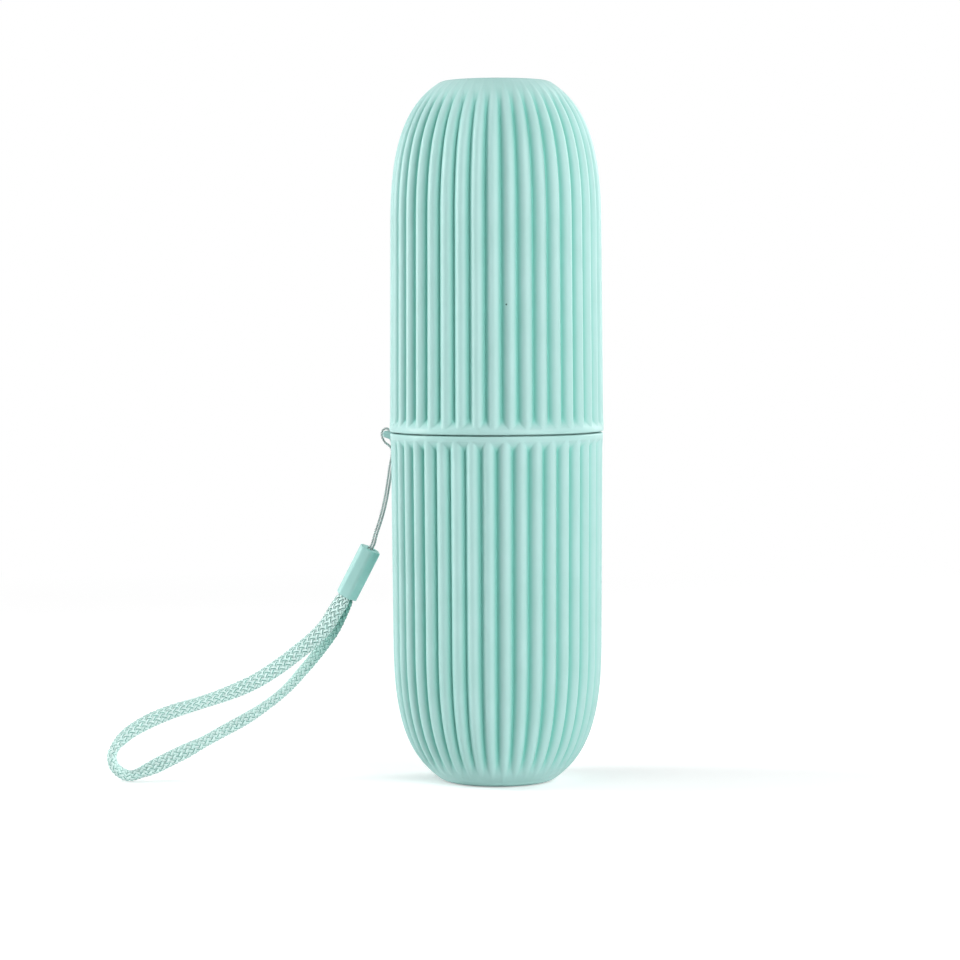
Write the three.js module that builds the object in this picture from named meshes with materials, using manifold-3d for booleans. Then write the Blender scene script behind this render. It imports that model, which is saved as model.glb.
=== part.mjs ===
// Toothbrush travel cup: a ribbed pill-shaped case in two halves, with a wrist lanyard on an eyelet.
// Millimetres, +Z up, origin at the centre of the foot, eyelet on the -X side.
import * as THREE from "three";
import { mergeVertices } from "three/addons/utils/BufferGeometryUtils.js";
import Module from "manifold-3d";

const wasm = await Module();
wasm.setup();

// Overall sizes
const HEIGHT = 196;
const RIM_RADIUS = 30;
const SEAM_HEIGHT = 98;
const SEAM_GAP = 0.4;
const LID_TURN = THREE.MathUtils.degToRad(3);

// Outside of the two shells
const BASE_RIM_STEP = 0.2;
const RIM_TO_BODY = 0.15;
const BODY_DRAFT = 0.35;
const RIM_EDGE = 0.4;
const BAND_HEIGHT = 1.45;
const BAND_RUN_OUT = 3.1;
const DOME_HEIGHT = 40;
const END_RADIUS = 15.6;
const END_DROP = 0.4;
const END_EDGE = 1;
const DOME_SIDE_PULL = 19.5;
const DOME_END_PULL = 12.8;
const DOME_END_SLOPE = THREE.MathUtils.degToRad(31.8);
const DOME_STEPS = 7;

// Ribs: rounded reeds with a sharp groove between each two
const RIB_COUNT = 40;
const RIB_SAMPLES = 4;
const RIB_DEPTH = 1.4;
const RIB_CURVE = 1.7;
const RIB_FADE_START = 15;
const RIB_FADE_END = 2;
const RIB_END_SHARE = 0.12;

// Walls, mouths and the collar between the two shells
const LID_WALL = 2.6;
const BASE_WALL = 3.1;
const INNER_SEGMENTS = 40;
const RIM_WALL = 2.7;
const MOUTH_RADIUS = RIM_RADIUS - RIM_WALL;
const MOUTH_DEPTH = 14;
const FIT_GAP = 0.3;
const NECK_WALL = 1.4;
const NECK_RISE = 12.5;
const NECK_LEAD_IN = 0.5;
const SNAP_HEIGHT = 8;
const SNAP_HALF_WIDTH = 0.9;
const SNAP_BULGE = 0.15;
const SNAP_RECESS = 0.25;

// Eyelet: two ears on the base's rim with a round bar between them, just below the seam
const STRING_DIAMETER = 0.7;
const STRING_HALF_SIDES = 4;
const STRING_STEPS = 72;
const LUG_BAR = 1.2;
const LUG_TALL = 1.9;
const LUG_FOOT = 2.8;
const LUG_DROP = 0.6;
const LUG_SHY = 0.1;
const LUG_EAR = 1.1;
const LUG_BEVEL = 0.3;
const LUG_CURVE_STEPS = 4;
const LUG_BAR_SIDES = 12;
const LUG_SHOULDER = THREE.MathUtils.degToRad(-60);
const LUG_SLOT = STRING_DIAMETER / 2 + FIT_GAP;
const SWING_GAP = 0.15;
const HITCH_SLACK = 0.15;
const HITCH_IN = LUG_BAR / 2 + FIT_GAP + STRING_DIAMETER / 2;
const HITCH_OUT = HITCH_IN + HITCH_SLACK;
const HITCH_UP = LUG_TALL / 2 + FIT_GAP + STRING_DIAMETER / 2;
const LUG_REACH = RIM_RADIUS + SWING_GAP + STRING_DIAMETER / 2 + HITCH_UP;
const LUG_HEIGHT = SEAM_HEIGHT - LUG_DROP;

// Hexagonal sleeve, its knot and the braid held in it
const SLEEVE_SIDES = 6;
const SLEEVE_LENGTH = 15.4;
const SLEEVE_WALL = 0.5;
const SLEEVE_CAP = 1.5;
const SLEEVE_BEVEL = 0.3;
const SLEEVE_TILT = THREE.MathUtils.degToRad(28);
const SLEEVE_ROLL = THREE.MathUtils.degToRad(-3.5);
const SLEEVE_OUT = 8.44;
const SLEEVE_AT = 0.5954;
const BORE_SEGMENTS = 24;
const KNOT_RADIUS = 1.5;
const KNOT_WAIST = 1.1;
const KNOT_LENGTH = 2.6;
const KNOT_TURNS = 2;
const KNOT_SHOULDER = 0.3;
const KNOT_SEGMENTS = 14;
const STRING_PAIR_ACROSS = 0.43 * STRING_DIAMETER;
const STRING_PAIR_DEPTH = 0.49 * STRING_DIAMETER;
const BRAID_WIDTH = 4.9;
const BRAID_THICKNESS = 2.9;
const NIP_WIDTH = 3.7;
const NIP_THICKNESS = 1.8;
const NIP_GAP = 0.2;
const NIP_LENGTH = 8;
const BRAID_SIDES = 10;
const BRAID_STEPS = 72;
const BRAID_TWIST = THREE.MathUtils.degToRad(75);
const BRAID_FLOOR = BRAID_THICKNESS / 2 + FIT_GAP;

// Meshes: how far a cutting body runs past what it cuts, and how near two corners count as one
const CUT_OVERRUN = 1;
const CORNER_TOLERANCE = 1e-4;

// Middle of the string's two strands: out from the bar, part of the bar's height, and back
const STRING_ROUTE = [
  [3.37, 0.708, 0.2],
  [2.06, 0.751, 0.8],
  [0.96, 0.801, 1.6],
  [0.23, 0.853, 2.5],
  [-0.37, 0.905, 3.2],
  [-0.9, 0.937, 3.6],
];
// One strand comes up on the inner side of the bar, turns over it and goes down outside as the other
const INNER_LEG = [
  [-1.4, 0.9588, 3.2],
  [-1.3, 0.977, 0.6],
];
const HITCH_TURN = [-30, 15, 60, 105, 150, 195];
const OUTER_LEG = [
  [0.65, 0.9765, 0.5],
  [-0.2, 0.967, 1.5],
  [-0.75, 0.9557, 2.6],
];

// Each point of the braid: out from the bar, part of the bar's height, how far back of the other run in braid
// thicknesses, and how far forward the whole loop comes
const BRAID_UPPER = [
  [15.2, 0.479, -0.5, 0],
  [17.6, 0.438, -0.57, 0.5],
  [21, 0.399, -0.57, 2.2],
  [25.5, 0.359, -0.55, 4.4],
  [30.2, 0.321, -0.45, 6.8],
  [36.3, 0.28, -0.3, 9.8],
  [43.3, 0.248, -0.15, 13.3],
  [50.6, 0.222, 0, 16.9],
  [57.8, 0.199, 0, 20.5],
  [63.8, 0.172, 0, 23.7],
  [68.9, 0.138, 0, 26.3],
  [72, 0.101, 0, 27.8],
  [72.8, 0.072, 0, 28.3],
  [71.9, 0.041, 0, 27.8],
];
const BRAID_TURN_OUT = 68.6;
const BRAID_TURN_FORWARD = 26.1;
const BRAID_LOWER = [
  [64, 0.033, 0, 23.7],
  [57.6, 0.066, 0, 20.4],
  [51, 0.101, 0, 17],
  [44.5, 0.139, 0.15, 13.7],
  [38.2, 0.177, 0.3, 10.4],
  [32.1, 0.223, 0.45, 7.3],
  [28.1, 0.262, 0.55, 5.2],
  [25, 0.301, 0.57, 3.6],
  [21.8, 0.342, 0.57, 2.1],
  [19.2, 0.383, 0.57, 0.8],
  [16.7, 0.425, 0.57, 0],
  [14.4, 0.47, 0.5, 0],
];

const MINT = new THREE.MeshStandardMaterial({ color: 0x9fd1c9, roughness: 0.55 });
const MINT_INNER = new THREE.MeshStandardMaterial({ color: 0xaad8d0, roughness: 0.5 });
const SILVER_CORD = new THREE.MeshStandardMaterial({ color: 0xa9b0b0, roughness: 0.8 });
const MINT_BRAID = new THREE.MeshStandardMaterial({ color: 0xc0dfda, roughness: 0.9 });

/** A closed geometry as a solid that can be cut and joined. */
function solid(geometry) {
  const bare = new THREE.BufferGeometry();
  bare.setAttribute("position", geometry.getAttribute("position"));
  bare.setIndex(geometry.getIndex());
  const merged = mergeVertices(bare, CORNER_TOLERANCE);
  const corners = merged.getIndex().array;
  const kept = [];
  for (let i = 0; i < corners.length; i += 3) {
    const [a, b, c] = [corners[i], corners[i + 1], corners[i + 2]];
    if (a !== b && b !== c && c !== a) kept.push(a, b, c);
  }
  return new wasm.Manifold(
    new wasm.Mesh({
      numProp: 3,
      vertProperties: merged.getAttribute("position").array,
      triVerts: new Uint32Array(kept),
    }),
  );
}

/** A solid back as a geometry with flat-shaded faces. */
function geometryOf(body) {
  const mesh = body.getMesh();
  const geometry = new THREE.BufferGeometry();
  geometry.setAttribute("position", new THREE.BufferAttribute(mesh.vertProperties, 3));
  geometry.setIndex(new THREE.BufferAttribute(mesh.triVerts, 1));
  const flat = geometry.toNonIndexed();
  flat.computeVertexNormals();
  return flat;
}

/** A turned body about +Z from [radius, height] rows. */
function turned(rows, segments) {
  const points = rows.map(([radius, height]) => new THREE.Vector2(radius, height));
  return new THREE.LatheGeometry(points, segments).rotateX(Math.PI / 2);
}

/** A named mesh. */
function piece(name, geometry, material) {
  const mesh = new THREE.Mesh(geometry, material);
  mesh.name = name;
  return mesh;
}

/** How far a rib falls away, at a share of the pitch from its crest, on a body of the given radius. */
function ribSag(share, radius) {
  return (RIB_DEPTH * (2 * share) ** RIB_CURVE * radius) / RIM_RADIUS;
}

/** The dome between a shell's side and its flat end, which lies `length` above the rim. */
function domeCurve(length, shoulder) {
  const end = new THREE.Vector2(END_RADIUS, length - END_DROP);
  const start = new THREE.Vector2(shoulder, length - DOME_HEIGHT);
  return new THREE.CubicBezierCurve(
    start,
    new THREE.Vector2(shoulder, start.y + DOME_SIDE_PULL),
    new THREE.Vector2(
      end.x + DOME_END_PULL * Math.cos(DOME_END_SLOPE),
      end.y - DOME_END_PULL * Math.sin(DOME_END_SLOPE),
    ),
    end,
  );
}

/** Rows of a shell's outside from the rim up, each with the deepest groove that is let into it. */
function outsideRows(length, rim) {
  const body = rim - RIM_TO_BODY;
  const shoulder = body - BODY_DRAFT;
  const shallow = ribSag(1 / RIB_SAMPLES, body);
  const deep = ribSag(1 / 2, body);
  const rows = [
    { radius: 0, height: 0, cut: 0 },
    { radius: rim - RIM_EDGE, height: 0, cut: 0 },
    { radius: rim, height: RIM_EDGE, cut: 0 },
    { radius: rim, height: BAND_HEIGHT, cut: 0 },
    { radius: body, height: BAND_HEIGHT + (BAND_RUN_OUT * shallow) / deep, cut: shallow },
    { radius: body, height: BAND_HEIGHT + BAND_RUN_OUT, cut: deep },
  ];
  const curve = domeCurve(length, shoulder);
  const span = curve.getLength();
  for (let i = 0; i <= DOME_STEPS; i += 1) {
    const share = i / DOME_STEPS;
    const point = curve.getPointAt(share);
    const left = span * (1 - share);
    const faded = THREE.MathUtils.smoothstep(left, RIB_FADE_END, RIB_FADE_START);
    const fade = THREE.MathUtils.lerp(RIB_END_SHARE, 1, faded);
    rows.push({ radius: point.x, height: point.y, cut: fade * ribSag(1 / 2, point.x) });
  }
  rows.push({ radius: END_RADIUS - END_EDGE, height: length, cut: 0 });
  rows.push({ radius: 0, height: length, cut: 0 });
  return rows;
}

/** The fluted outside of a shell, filled. */
function flutedBody(length, rim) {
  const rows = outsideRows(length, rim);
  const segments = RIB_COUNT * RIB_SAMPLES;
  const points = rows.map((row) => new THREE.Vector2(row.radius, row.height));
  const lathe = new THREE.LatheGeometry(points, segments);
  const position = lathe.getAttribute("position");
  for (let i = 0; i < position.count; i += 1) {
    const row = rows[i % rows.length];
    const turn = (Math.floor(i / rows.length) % RIB_SAMPLES) / RIB_SAMPLES;
    const share = Math.min(turn, 1 - turn);
    const cut = Math.min(row.cut, ribSag(share, row.radius));
    const scale = row.radius > 0 ? 1 - cut / row.radius : 1;
    position.setX(i, position.getX(i) * scale);
    position.setZ(i, position.getZ(i) * scale);
  }
  return solid(lathe.rotateX(Math.PI / 2));
}

/** Rows of a shell's inside above its mouth, a wall's thickness from the outside. */
function insideRows(length, rim, wall) {
  const shoulder = rim - RIM_TO_BODY - BODY_DRAFT;
  const curve = domeCurve(length, shoulder);
  const rows = [];
  for (let i = 0; i <= DOME_STEPS; i += 1) {
    const share = i / DOME_STEPS;
    const point = curve.getPointAt(share);
    const along = curve.getTangentAt(share);
    rows.push([point.x - along.y * wall, point.y + along.x * wall]);
  }
  rows.push([0, rows[rows.length - 1][1]]);
  return rows;
}

/** The lid: a ribbed cup, mouth down at z = 0, with a recess that the collar's bead springs into. */
function lidGeometry() {
  const length = HEIGHT - SEAM_HEIGHT - SEAM_GAP;
  const snap = SNAP_HEIGHT - SEAM_GAP;
  const inside = [
    [0, -CUT_OVERRUN],
    [MOUTH_RADIUS, -CUT_OVERRUN],
    [MOUTH_RADIUS, snap - SNAP_HALF_WIDTH - SNAP_RECESS],
    [MOUTH_RADIUS + SNAP_RECESS, snap - SNAP_HALF_WIDTH],
    [MOUTH_RADIUS + SNAP_RECESS, snap + SNAP_HALF_WIDTH],
    [MOUTH_RADIUS, snap + SNAP_HALF_WIDTH + SNAP_RECESS],
    [MOUTH_RADIUS, MOUTH_DEPTH],
    ...insideRows(length, RIM_RADIUS, LID_WALL),
  ];
  const cavity = solid(turned(inside, INNER_SEGMENTS));
  return geometryOf(flutedBody(length, RIM_RADIUS).subtract(cavity));
}

/** An ear from the side: it leaves the wall below the rim and ends in an oval; rim at y = 0, down is +y. */
function earShape() {
  const root = MOUTH_RADIUS + FIT_GAP;
  const shape = new THREE.Shape();
  shape.moveTo(-root, LUG_FOOT);
  shape.lineTo(-root, LUG_SHY);
  shape.lineTo(-RIM_RADIUS - FIT_GAP, LUG_SHY);
  shape.absellipse(-LUG_REACH, LUG_DROP, LUG_BAR / 2, LUG_TALL / 2, LUG_SHOULDER, Math.PI / 2, true);
  shape.closePath();
  return shape;
}

/** The eyelet: one block with the ears' outline, slotted for the string, and the bar across the slot. */
function lugSolid() {
  const wide = LUG_SLOT + LUG_EAR;
  const block = new THREE.ExtrudeGeometry(earShape(), {
    depth: 2 * (wide - LUG_BEVEL),
    curveSegments: LUG_CURVE_STEPS,
    bevelEnabled: true,
    bevelSegments: 1,
    bevelSize: LUG_BEVEL,
    bevelThickness: LUG_BEVEL,
    bevelOffset: -LUG_BEVEL,
  });
  block.translate(0, 0, LUG_BEVEL - wide).rotateX(Math.PI / 2);
  const slotEnd = LUG_REACH + LUG_BAR / 2 + CUT_OVERRUN;
  const slotLength = slotEnd - MOUTH_RADIUS;
  const slot = new THREE.BoxGeometry(slotLength, 2 * LUG_SLOT, 2 * (LUG_FOOT + CUT_OVERRUN));
  slot.translate(slotLength / 2 - slotEnd, 0, 0);
  const bar = new THREE.CylinderGeometry(LUG_BAR / 2, LUG_BAR / 2, 2 * LUG_SLOT + LUG_EAR, LUG_BAR_SIDES);
  bar.translate(-LUG_REACH, 0, LUG_DROP);
  return solid(block).subtract(solid(slot)).add(solid(bar));
}

/** The base: the same cup turned over, with a ledge for the collar and the lug on its rim. */
function baseGeometry() {
  const rim = RIM_RADIUS - BASE_RIM_STEP;
  const ledge = rim - RIM_TO_BODY - BASE_WALL;
  const inside = [
    [0, -CUT_OVERRUN],
    [MOUTH_RADIUS, -CUT_OVERRUN],
    [MOUTH_RADIUS, MOUTH_DEPTH],
    [ledge, MOUTH_DEPTH],
    ...insideRows(SEAM_HEIGHT, rim, BASE_WALL),
  ];
  const cavity = solid(turned(inside, INNER_SEGMENTS));
  const shell = flutedBody(SEAM_HEIGHT, rim).add(lugSolid()).subtract(cavity);
  return geometryOf(shell);
}

/** The collar, standing on the base's ledge, with the bead that the lid springs over; z = 0 at the seam. */
function neckGeometry() {
  const outer = MOUTH_RADIUS - FIT_GAP;
  const inner = outer - NECK_WALL;
  const foot = FIT_GAP - MOUTH_DEPTH;
  const rows = [
    [inner, foot],
    [outer, foot],
    [outer, SNAP_HEIGHT - SNAP_HALF_WIDTH],
    [outer + SNAP_BULGE, SNAP_HEIGHT - SNAP_HALF_WIDTH / 2],
    [outer + SNAP_BULGE, SNAP_HEIGHT + SNAP_HALF_WIDTH / 2],
    [outer, SNAP_HEIGHT + SNAP_HALF_WIDTH],
    [outer, NECK_RISE - NECK_LEAD_IN],
    [outer - NECK_LEAD_IN, NECK_RISE],
    [inner, NECK_RISE],
    [inner, foot],
  ];
  return turned(rows, INNER_SEGMENTS);
}

/** A place on the lanyard, in its own frame, whose origin is the middle of the lug's bar. */
function onRoute(out, share, depth) {
  return new THREE.Vector3(-out, depth, LUG_HEIGHT * (share - 1));
}

/** The sleeve's frame in the lanyard's: origin at its middle, +Z along it to the string. */
function sleeveFrame() {
  const frame = new THREE.Group();
  frame.position.copy(onRoute(SLEEVE_OUT, SLEEVE_AT, 0));
  frame.rotation.y = SLEEVE_TILT;
  frame.updateMatrix();
  return frame;
}

const sleeve = sleeveFrame();
const capInside = SLEEVE_LENGTH / 2 - SLEEVE_CAP;
const knotTop = capInside - FIT_GAP;
const braidEnd = knotTop - KNOT_LENGTH - FIT_GAP;
const nipOffset = (NIP_THICKNESS + NIP_GAP) / 2;
const boreRadius = Math.hypot(NIP_WIDTH / 2, nipOffset) + FIT_GAP;

/** A place in the sleeve's frame, in the lanyard's. */
function inSleeve(across, depth, along) {
  return new THREE.Vector3(across, depth, along).applyMatrix4(sleeve.matrix);
}

/** One strand of the string, from the sleeve to the eyelet; side is +1 behind or -1 in front. */
function stringStrand(side) {
  const across = side * STRING_PAIR_ACROSS;
  const depth = side * STRING_PAIR_DEPTH;
  return [
    inSleeve(across, depth, capInside),
    inSleeve(across, depth, SLEEVE_LENGTH / 2),
    inSleeve(across, depth, SLEEVE_LENGTH / 2 + SLEEVE_CAP),
    ...STRING_ROUTE.map(([out, share, back]) => onRoute(out - across, share, back + depth)),
  ];
}

/** The string's turn over the bar, from its inner side to its outer side. */
function hitchTurn() {
  return HITCH_TURN.map((degrees) => {
    const turn = THREE.MathUtils.degToRad(degrees);
    const inward = Math.cos(turn);
    const reach = inward > 0 ? HITCH_IN : HITCH_OUT;
    return new THREE.Vector3(reach * inward, 0, HITCH_UP * Math.sin(turn));
  });
}

/** The string: a round tube from the sleeve, over the eyelet's bar and back to the sleeve. */
function stringGeometry() {
  const route = [
    ...stringStrand(1),
    ...INNER_LEG.map(([out, share, back]) => onRoute(out, share, back)),
    ...hitchTurn(),
    ...OUTER_LEG.map(([out, share, back]) => onRoute(out, share, back)),
    ...stringStrand(-1).reverse(),
  ];
  const section = new THREE.Shape();
  section.absarc(0, 0, STRING_DIAMETER / 2, 0, 2 * Math.PI);
  return new THREE.ExtrudeGeometry(section, {
    steps: STRING_STEPS,
    curveSegments: STRING_HALF_SIDES,
    bevelEnabled: false,
    extrudePath: new THREE.CatmullRomCurve3(route, false, "centripetal"),
  });
}

/** A regular hexagon across the given flats. */
function hexagon(flats) {
  const shape = new THREE.Shape();
  const reach = flats / 2 / Math.cos(Math.PI / SLEEVE_SIDES);
  for (let i = 0; i < SLEEVE_SIDES; i += 1) {
    const turn = SLEEVE_ROLL + (2 * Math.PI * i) / SLEEVE_SIDES;
    const corner = new THREE.Vector2(reach * Math.cos(turn), reach * Math.sin(turn));
    if (i === 0) shape.moveTo(corner.x, corner.y);
    else shape.lineTo(corner.x, corner.y);
  }
  shape.closePath();
  return shape;
}

/** The sleeve: a hexagonal barrel, open to the braid, with a small hole in its cap for the string. */
function sleeveGeometry() {
  const hole = Math.hypot(STRING_PAIR_ACROSS, STRING_PAIR_DEPTH) + STRING_DIAMETER / 2 + FIT_GAP;
  const half = SLEEVE_LENGTH / 2;
  const barrel = new THREE.ExtrudeGeometry(hexagon(2 * (boreRadius + SLEEVE_WALL)), {
    depth: SLEEVE_LENGTH - 2 * SLEEVE_BEVEL,
    bevelEnabled: true,
    bevelSegments: 1,
    bevelSize: SLEEVE_BEVEL,
    bevelThickness: SLEEVE_BEVEL,
    bevelOffset: -SLEEVE_BEVEL,
  }).translate(0, 0, SLEEVE_BEVEL - half);
  const bore = turned(
    [
      [0, -half - CUT_OVERRUN],
      [boreRadius, -half - CUT_OVERRUN],
      [boreRadius, capInside],
      [hole, capInside],
      [hole, half + CUT_OVERRUN],
      [0, half + CUT_OVERRUN],
    ],
    BORE_SEGMENTS,
  );
  return geometryOf(solid(barrel).subtract(solid(bore)));
}

/** The stopper knot: tight turns with a waist between each two. */
function knotGeometry() {
  const foot = knotTop - KNOT_LENGTH;
  const pitch = KNOT_LENGTH / KNOT_TURNS;
  const rows = [[0, foot]];
  for (let i = 0; i < KNOT_TURNS; i += 1) {
    rows.push([KNOT_WAIST, foot + i * pitch]);
    rows.push([KNOT_RADIUS, foot + (i + KNOT_SHOULDER) * pitch]);
    rows.push([KNOT_RADIUS, foot + (i + 1 - KNOT_SHOULDER) * pitch]);
  }
  rows.push([KNOT_WAIST, knotTop], [0, knotTop]);
  return turned(rows, KNOT_SEGMENTS);
}

/** The braid's middle line, out of the sleeve, round the far turn and back. */
function braidCurve() {
  const across = nipOffset * Math.cos(BRAID_TWIST);
  const depth = nipOffset * Math.sin(BRAID_TWIST);
  const mouth = -SLEEVE_LENGTH / 2;
  const floor = new THREE.Vector3(-BRAID_TURN_OUT, -BRAID_TURN_FORWARD, BRAID_FLOOR - LUG_HEIGHT);
  const onBraid = ([out, share, apart, forward]) => onRoute(out, share, apart * BRAID_THICKNESS - forward);
  const route = [
    inSleeve(-across, -depth, braidEnd),
    inSleeve(-across, -depth, (braidEnd + mouth) / 2),
    inSleeve(-across, -depth, mouth),
    ...BRAID_UPPER.map(onBraid),
    floor,
    ...BRAID_LOWER.map(onBraid),
    inSleeve(across, depth, mouth),
    inSleeve(across, depth, (braidEnd + mouth) / 2),
    inSleeve(across, depth, braidEnd),
  ];
  return new THREE.CatmullRomCurve3(route, false, "centripetal");
}

/** The wrist loop: a flat oval cord that turns about its own line and is nipped in the sleeve. */
function braidGeometry() {
  const curve = braidCurve();
  const span = curve.getLength();
  const held = braidEnd + SLEEVE_LENGTH / 2;
  const side = new THREE.Vector3(0, 1, 0);
  const corners = [];
  for (let i = 0; i <= BRAID_STEPS; i += 1) {
    const share = i / BRAID_STEPS;
    const centre = curve.getPointAt(share);
    const along = curve.getTangentAt(share);
    const normal = new THREE.Vector3().crossVectors(side, along).normalize();
    const binormal = new THREE.Vector3().crossVectors(along, normal);
    const twist = BRAID_TWIST * (2 * share - 1);
    const thin = normal.clone().multiplyScalar(Math.cos(twist)).addScaledVector(binormal, Math.sin(twist));
    const wide = new THREE.Vector3().crossVectors(thin, along);
    const free = Math.min(share, 1 - share) * span - held;
    const open = THREE.MathUtils.smoothstep(free, 0, NIP_LENGTH);
    const halfWidth = THREE.MathUtils.lerp(NIP_WIDTH, BRAID_WIDTH, open) / 2;
    const halfThick = THREE.MathUtils.lerp(NIP_THICKNESS, BRAID_THICKNESS, open) / 2;
    for (let j = 0; j < BRAID_SIDES; j += 1) {
      const turn = (2 * Math.PI * j) / BRAID_SIDES;
      const corner = centre.clone().addScaledVector(wide, halfWidth * Math.cos(turn));
      corners.push(corner.addScaledVector(thin, halfThick * Math.sin(turn)));
    }
  }
  const index = [];
  for (let i = 0; i < BRAID_STEPS; i += 1) {
    for (let j = 0; j < BRAID_SIDES; j += 1) {
      const a = i * BRAID_SIDES + j;
      const b = i * BRAID_SIDES + ((j + 1) % BRAID_SIDES);
      index.push(a, b, a + BRAID_SIDES, b, b + BRAID_SIDES, a + BRAID_SIDES);
    }
  }
  const last = BRAID_STEPS * BRAID_SIDES;
  for (let j = 1; j < BRAID_SIDES - 1; j += 1) {
    index.push(0, j + 1, j);
    index.push(last, last + j, last + j + 1);
  }
  const geometry = new THREE.BufferGeometry().setFromPoints(corners);
  geometry.setIndex(index);
  geometry.computeVertexNormals();
  return geometry;
}

const root = new THREE.Group();
root.name = "toothbrush_travel_cup";

const base = new THREE.Group();
base.name = "base";
base.position.z = SEAM_HEIGHT;
const baseShell = piece("base_shell", baseGeometry(), MINT.clone());
baseShell.rotation.x = Math.PI;
const neckRing = piece("neck_ring", neckGeometry(), MINT_INNER.clone());
base.add(baseShell, neckRing);

const lid = new THREE.Group();
lid.name = "lid";
lid.position.z = SEAM_HEIGHT + SEAM_GAP;
lid.rotation.z = LID_TURN;
lid.add(piece("lid_shell", lidGeometry(), MINT.clone()));

const lanyard = new THREE.Group();
lanyard.name = "lanyard";
lanyard.position.set(-LUG_REACH, 0, LUG_HEIGHT);
sleeve.add(piece("lanyard_sleeve", sleeveGeometry(), MINT.clone()));
sleeve.add(piece("string_knot", knotGeometry(), SILVER_CORD.clone()));
const string = piece("lanyard_string", stringGeometry(), SILVER_CORD.clone());
const braid = piece("wrist_braid", braidGeometry(), MINT_BRAID.clone());
lanyard.add(string, sleeve, braid);

root.add(base, lid, lanyard);

export default root;
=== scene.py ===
"""A ribbed toothbrush travel cup with a braided wrist lanyard, dressed for a studio picture.

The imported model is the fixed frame: metres, +Z up, origin at the centre of the foot, eyelet on the -X side.
"""

import logging
import math
from dataclasses import dataclass, field, replace
from enum import Enum
from typing import Dict, List, Mapping, Optional, Sequence, Tuple, Union

import bmesh
import bpy
from mathutils import Matrix, Vector


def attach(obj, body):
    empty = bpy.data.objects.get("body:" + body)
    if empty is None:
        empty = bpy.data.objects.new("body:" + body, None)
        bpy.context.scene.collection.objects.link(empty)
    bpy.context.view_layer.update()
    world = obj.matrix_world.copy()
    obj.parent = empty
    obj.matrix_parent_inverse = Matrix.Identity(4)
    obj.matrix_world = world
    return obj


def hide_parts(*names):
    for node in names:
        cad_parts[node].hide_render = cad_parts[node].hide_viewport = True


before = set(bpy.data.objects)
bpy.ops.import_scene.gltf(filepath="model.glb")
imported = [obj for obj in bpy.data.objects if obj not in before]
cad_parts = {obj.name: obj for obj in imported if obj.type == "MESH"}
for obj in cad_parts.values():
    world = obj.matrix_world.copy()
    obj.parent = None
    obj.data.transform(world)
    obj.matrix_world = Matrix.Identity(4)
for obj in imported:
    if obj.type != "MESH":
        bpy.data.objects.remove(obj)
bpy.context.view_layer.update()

MM = 0.001
TAU = 2 * math.pi
WELD = 0.001 * MM
SHORTEST = 1e-12
LONGEST_ROUND = 0.45
BESIDE_ROUND = 0.1
LOG = logging.getLogger("travel_cup")

Colour = Tuple[float, float, float, float]
Point2 = Tuple[float, float]
Route3 = Tuple[Tuple[float, float, float], ...]
Route4 = Tuple[Tuple[float, float, float, float], ...]
Feed = Union[bpy.types.NodeSocket, bpy.types.Node, bpy.types.ID, Sequence[float], float, int, bool, str]


def paint(red: int, green: int, blue: int) -> Colour:
    """Turns a colour as seen on a screen, 0 to 255, into the light values that a shader takes.

    Args:
        red: red on the screen.
        green: green on the screen.
        blue: blue on the screen.

    Returns:
        The colour for a shader, opaque.
    """
    def light(level: int) -> float:
        """One channel as light."""
        share = level / 255
        return share / 12.92 if share <= 0.04045 else ((share + 0.055) / 1.055) ** 2.4

    return (light(red), light(green), light(blue), 1.0)


def smooth_share(value: float, low: float, high: float) -> float:
    """Rises smoothly from 0 at low to 1 at high.

    Args:
        value: where to look.
        low: where the rise starts.
        high: where the rise ends.

    Returns:
        The share, from 0 to 1.
    """
    share = min(max((value - low) / (high - low), 0.0), 1.0)
    return share * share * (3 - 2 * share)


def mix(low: float, high: float, share: float) -> float:
    """The value that lies a share of the way from low to high."""
    return low + (high - low) * share


def passing(marks: Sequence[Point2], place: float) -> float:
    """Passes smoothly from each mark's level to the next one's.

    Args:
        marks: places in order and the level at each.
        place: where the level is wanted.

    Returns:
        The level.
    """
    for (start, low), (stop, high) in zip(marks, marks[1:]):
        if place <= stop:
            return mix(low, high, smooth_share(place, start, stop))
    return marks[-1][1]


def spaced(points: Sequence[Vector], count: int) -> List[Vector]:
    """Spreads points evenly along a line of many short pieces.

    Args:
        points: the line's own points.
        count: how many points to return.

    Returns:
        The evenly spaced points, both ends included.
    """
    reached = [0.0]
    for before, after in zip(points, points[1:]):
        reached.append(reached[-1] + (after - before).length)
    found, piece = [], 0
    for i in range(count):
        goal = reached[-1] * i / (count - 1)
        while piece < len(points) - 2 and reached[piece + 1] < goal:
            piece += 1
        span = max(reached[piece + 1] - reached[piece], SHORTEST)
        found.append(points[piece].lerp(points[piece + 1], (goal - reached[piece]) / span))
    return found


def line_length(points: Sequence[Vector]) -> float:
    """The length of a line through points."""
    return sum((after - before).length for before, after in zip(points, points[1:]))


def directions(points: Sequence[Vector]) -> List[Vector]:
    """The direction of a line at each of its points."""
    last = len(points) - 1
    return [(points[min(i + 1, last)] - points[max(i - 1, 0)]).normalized() for i in range(last + 1)]


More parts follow.
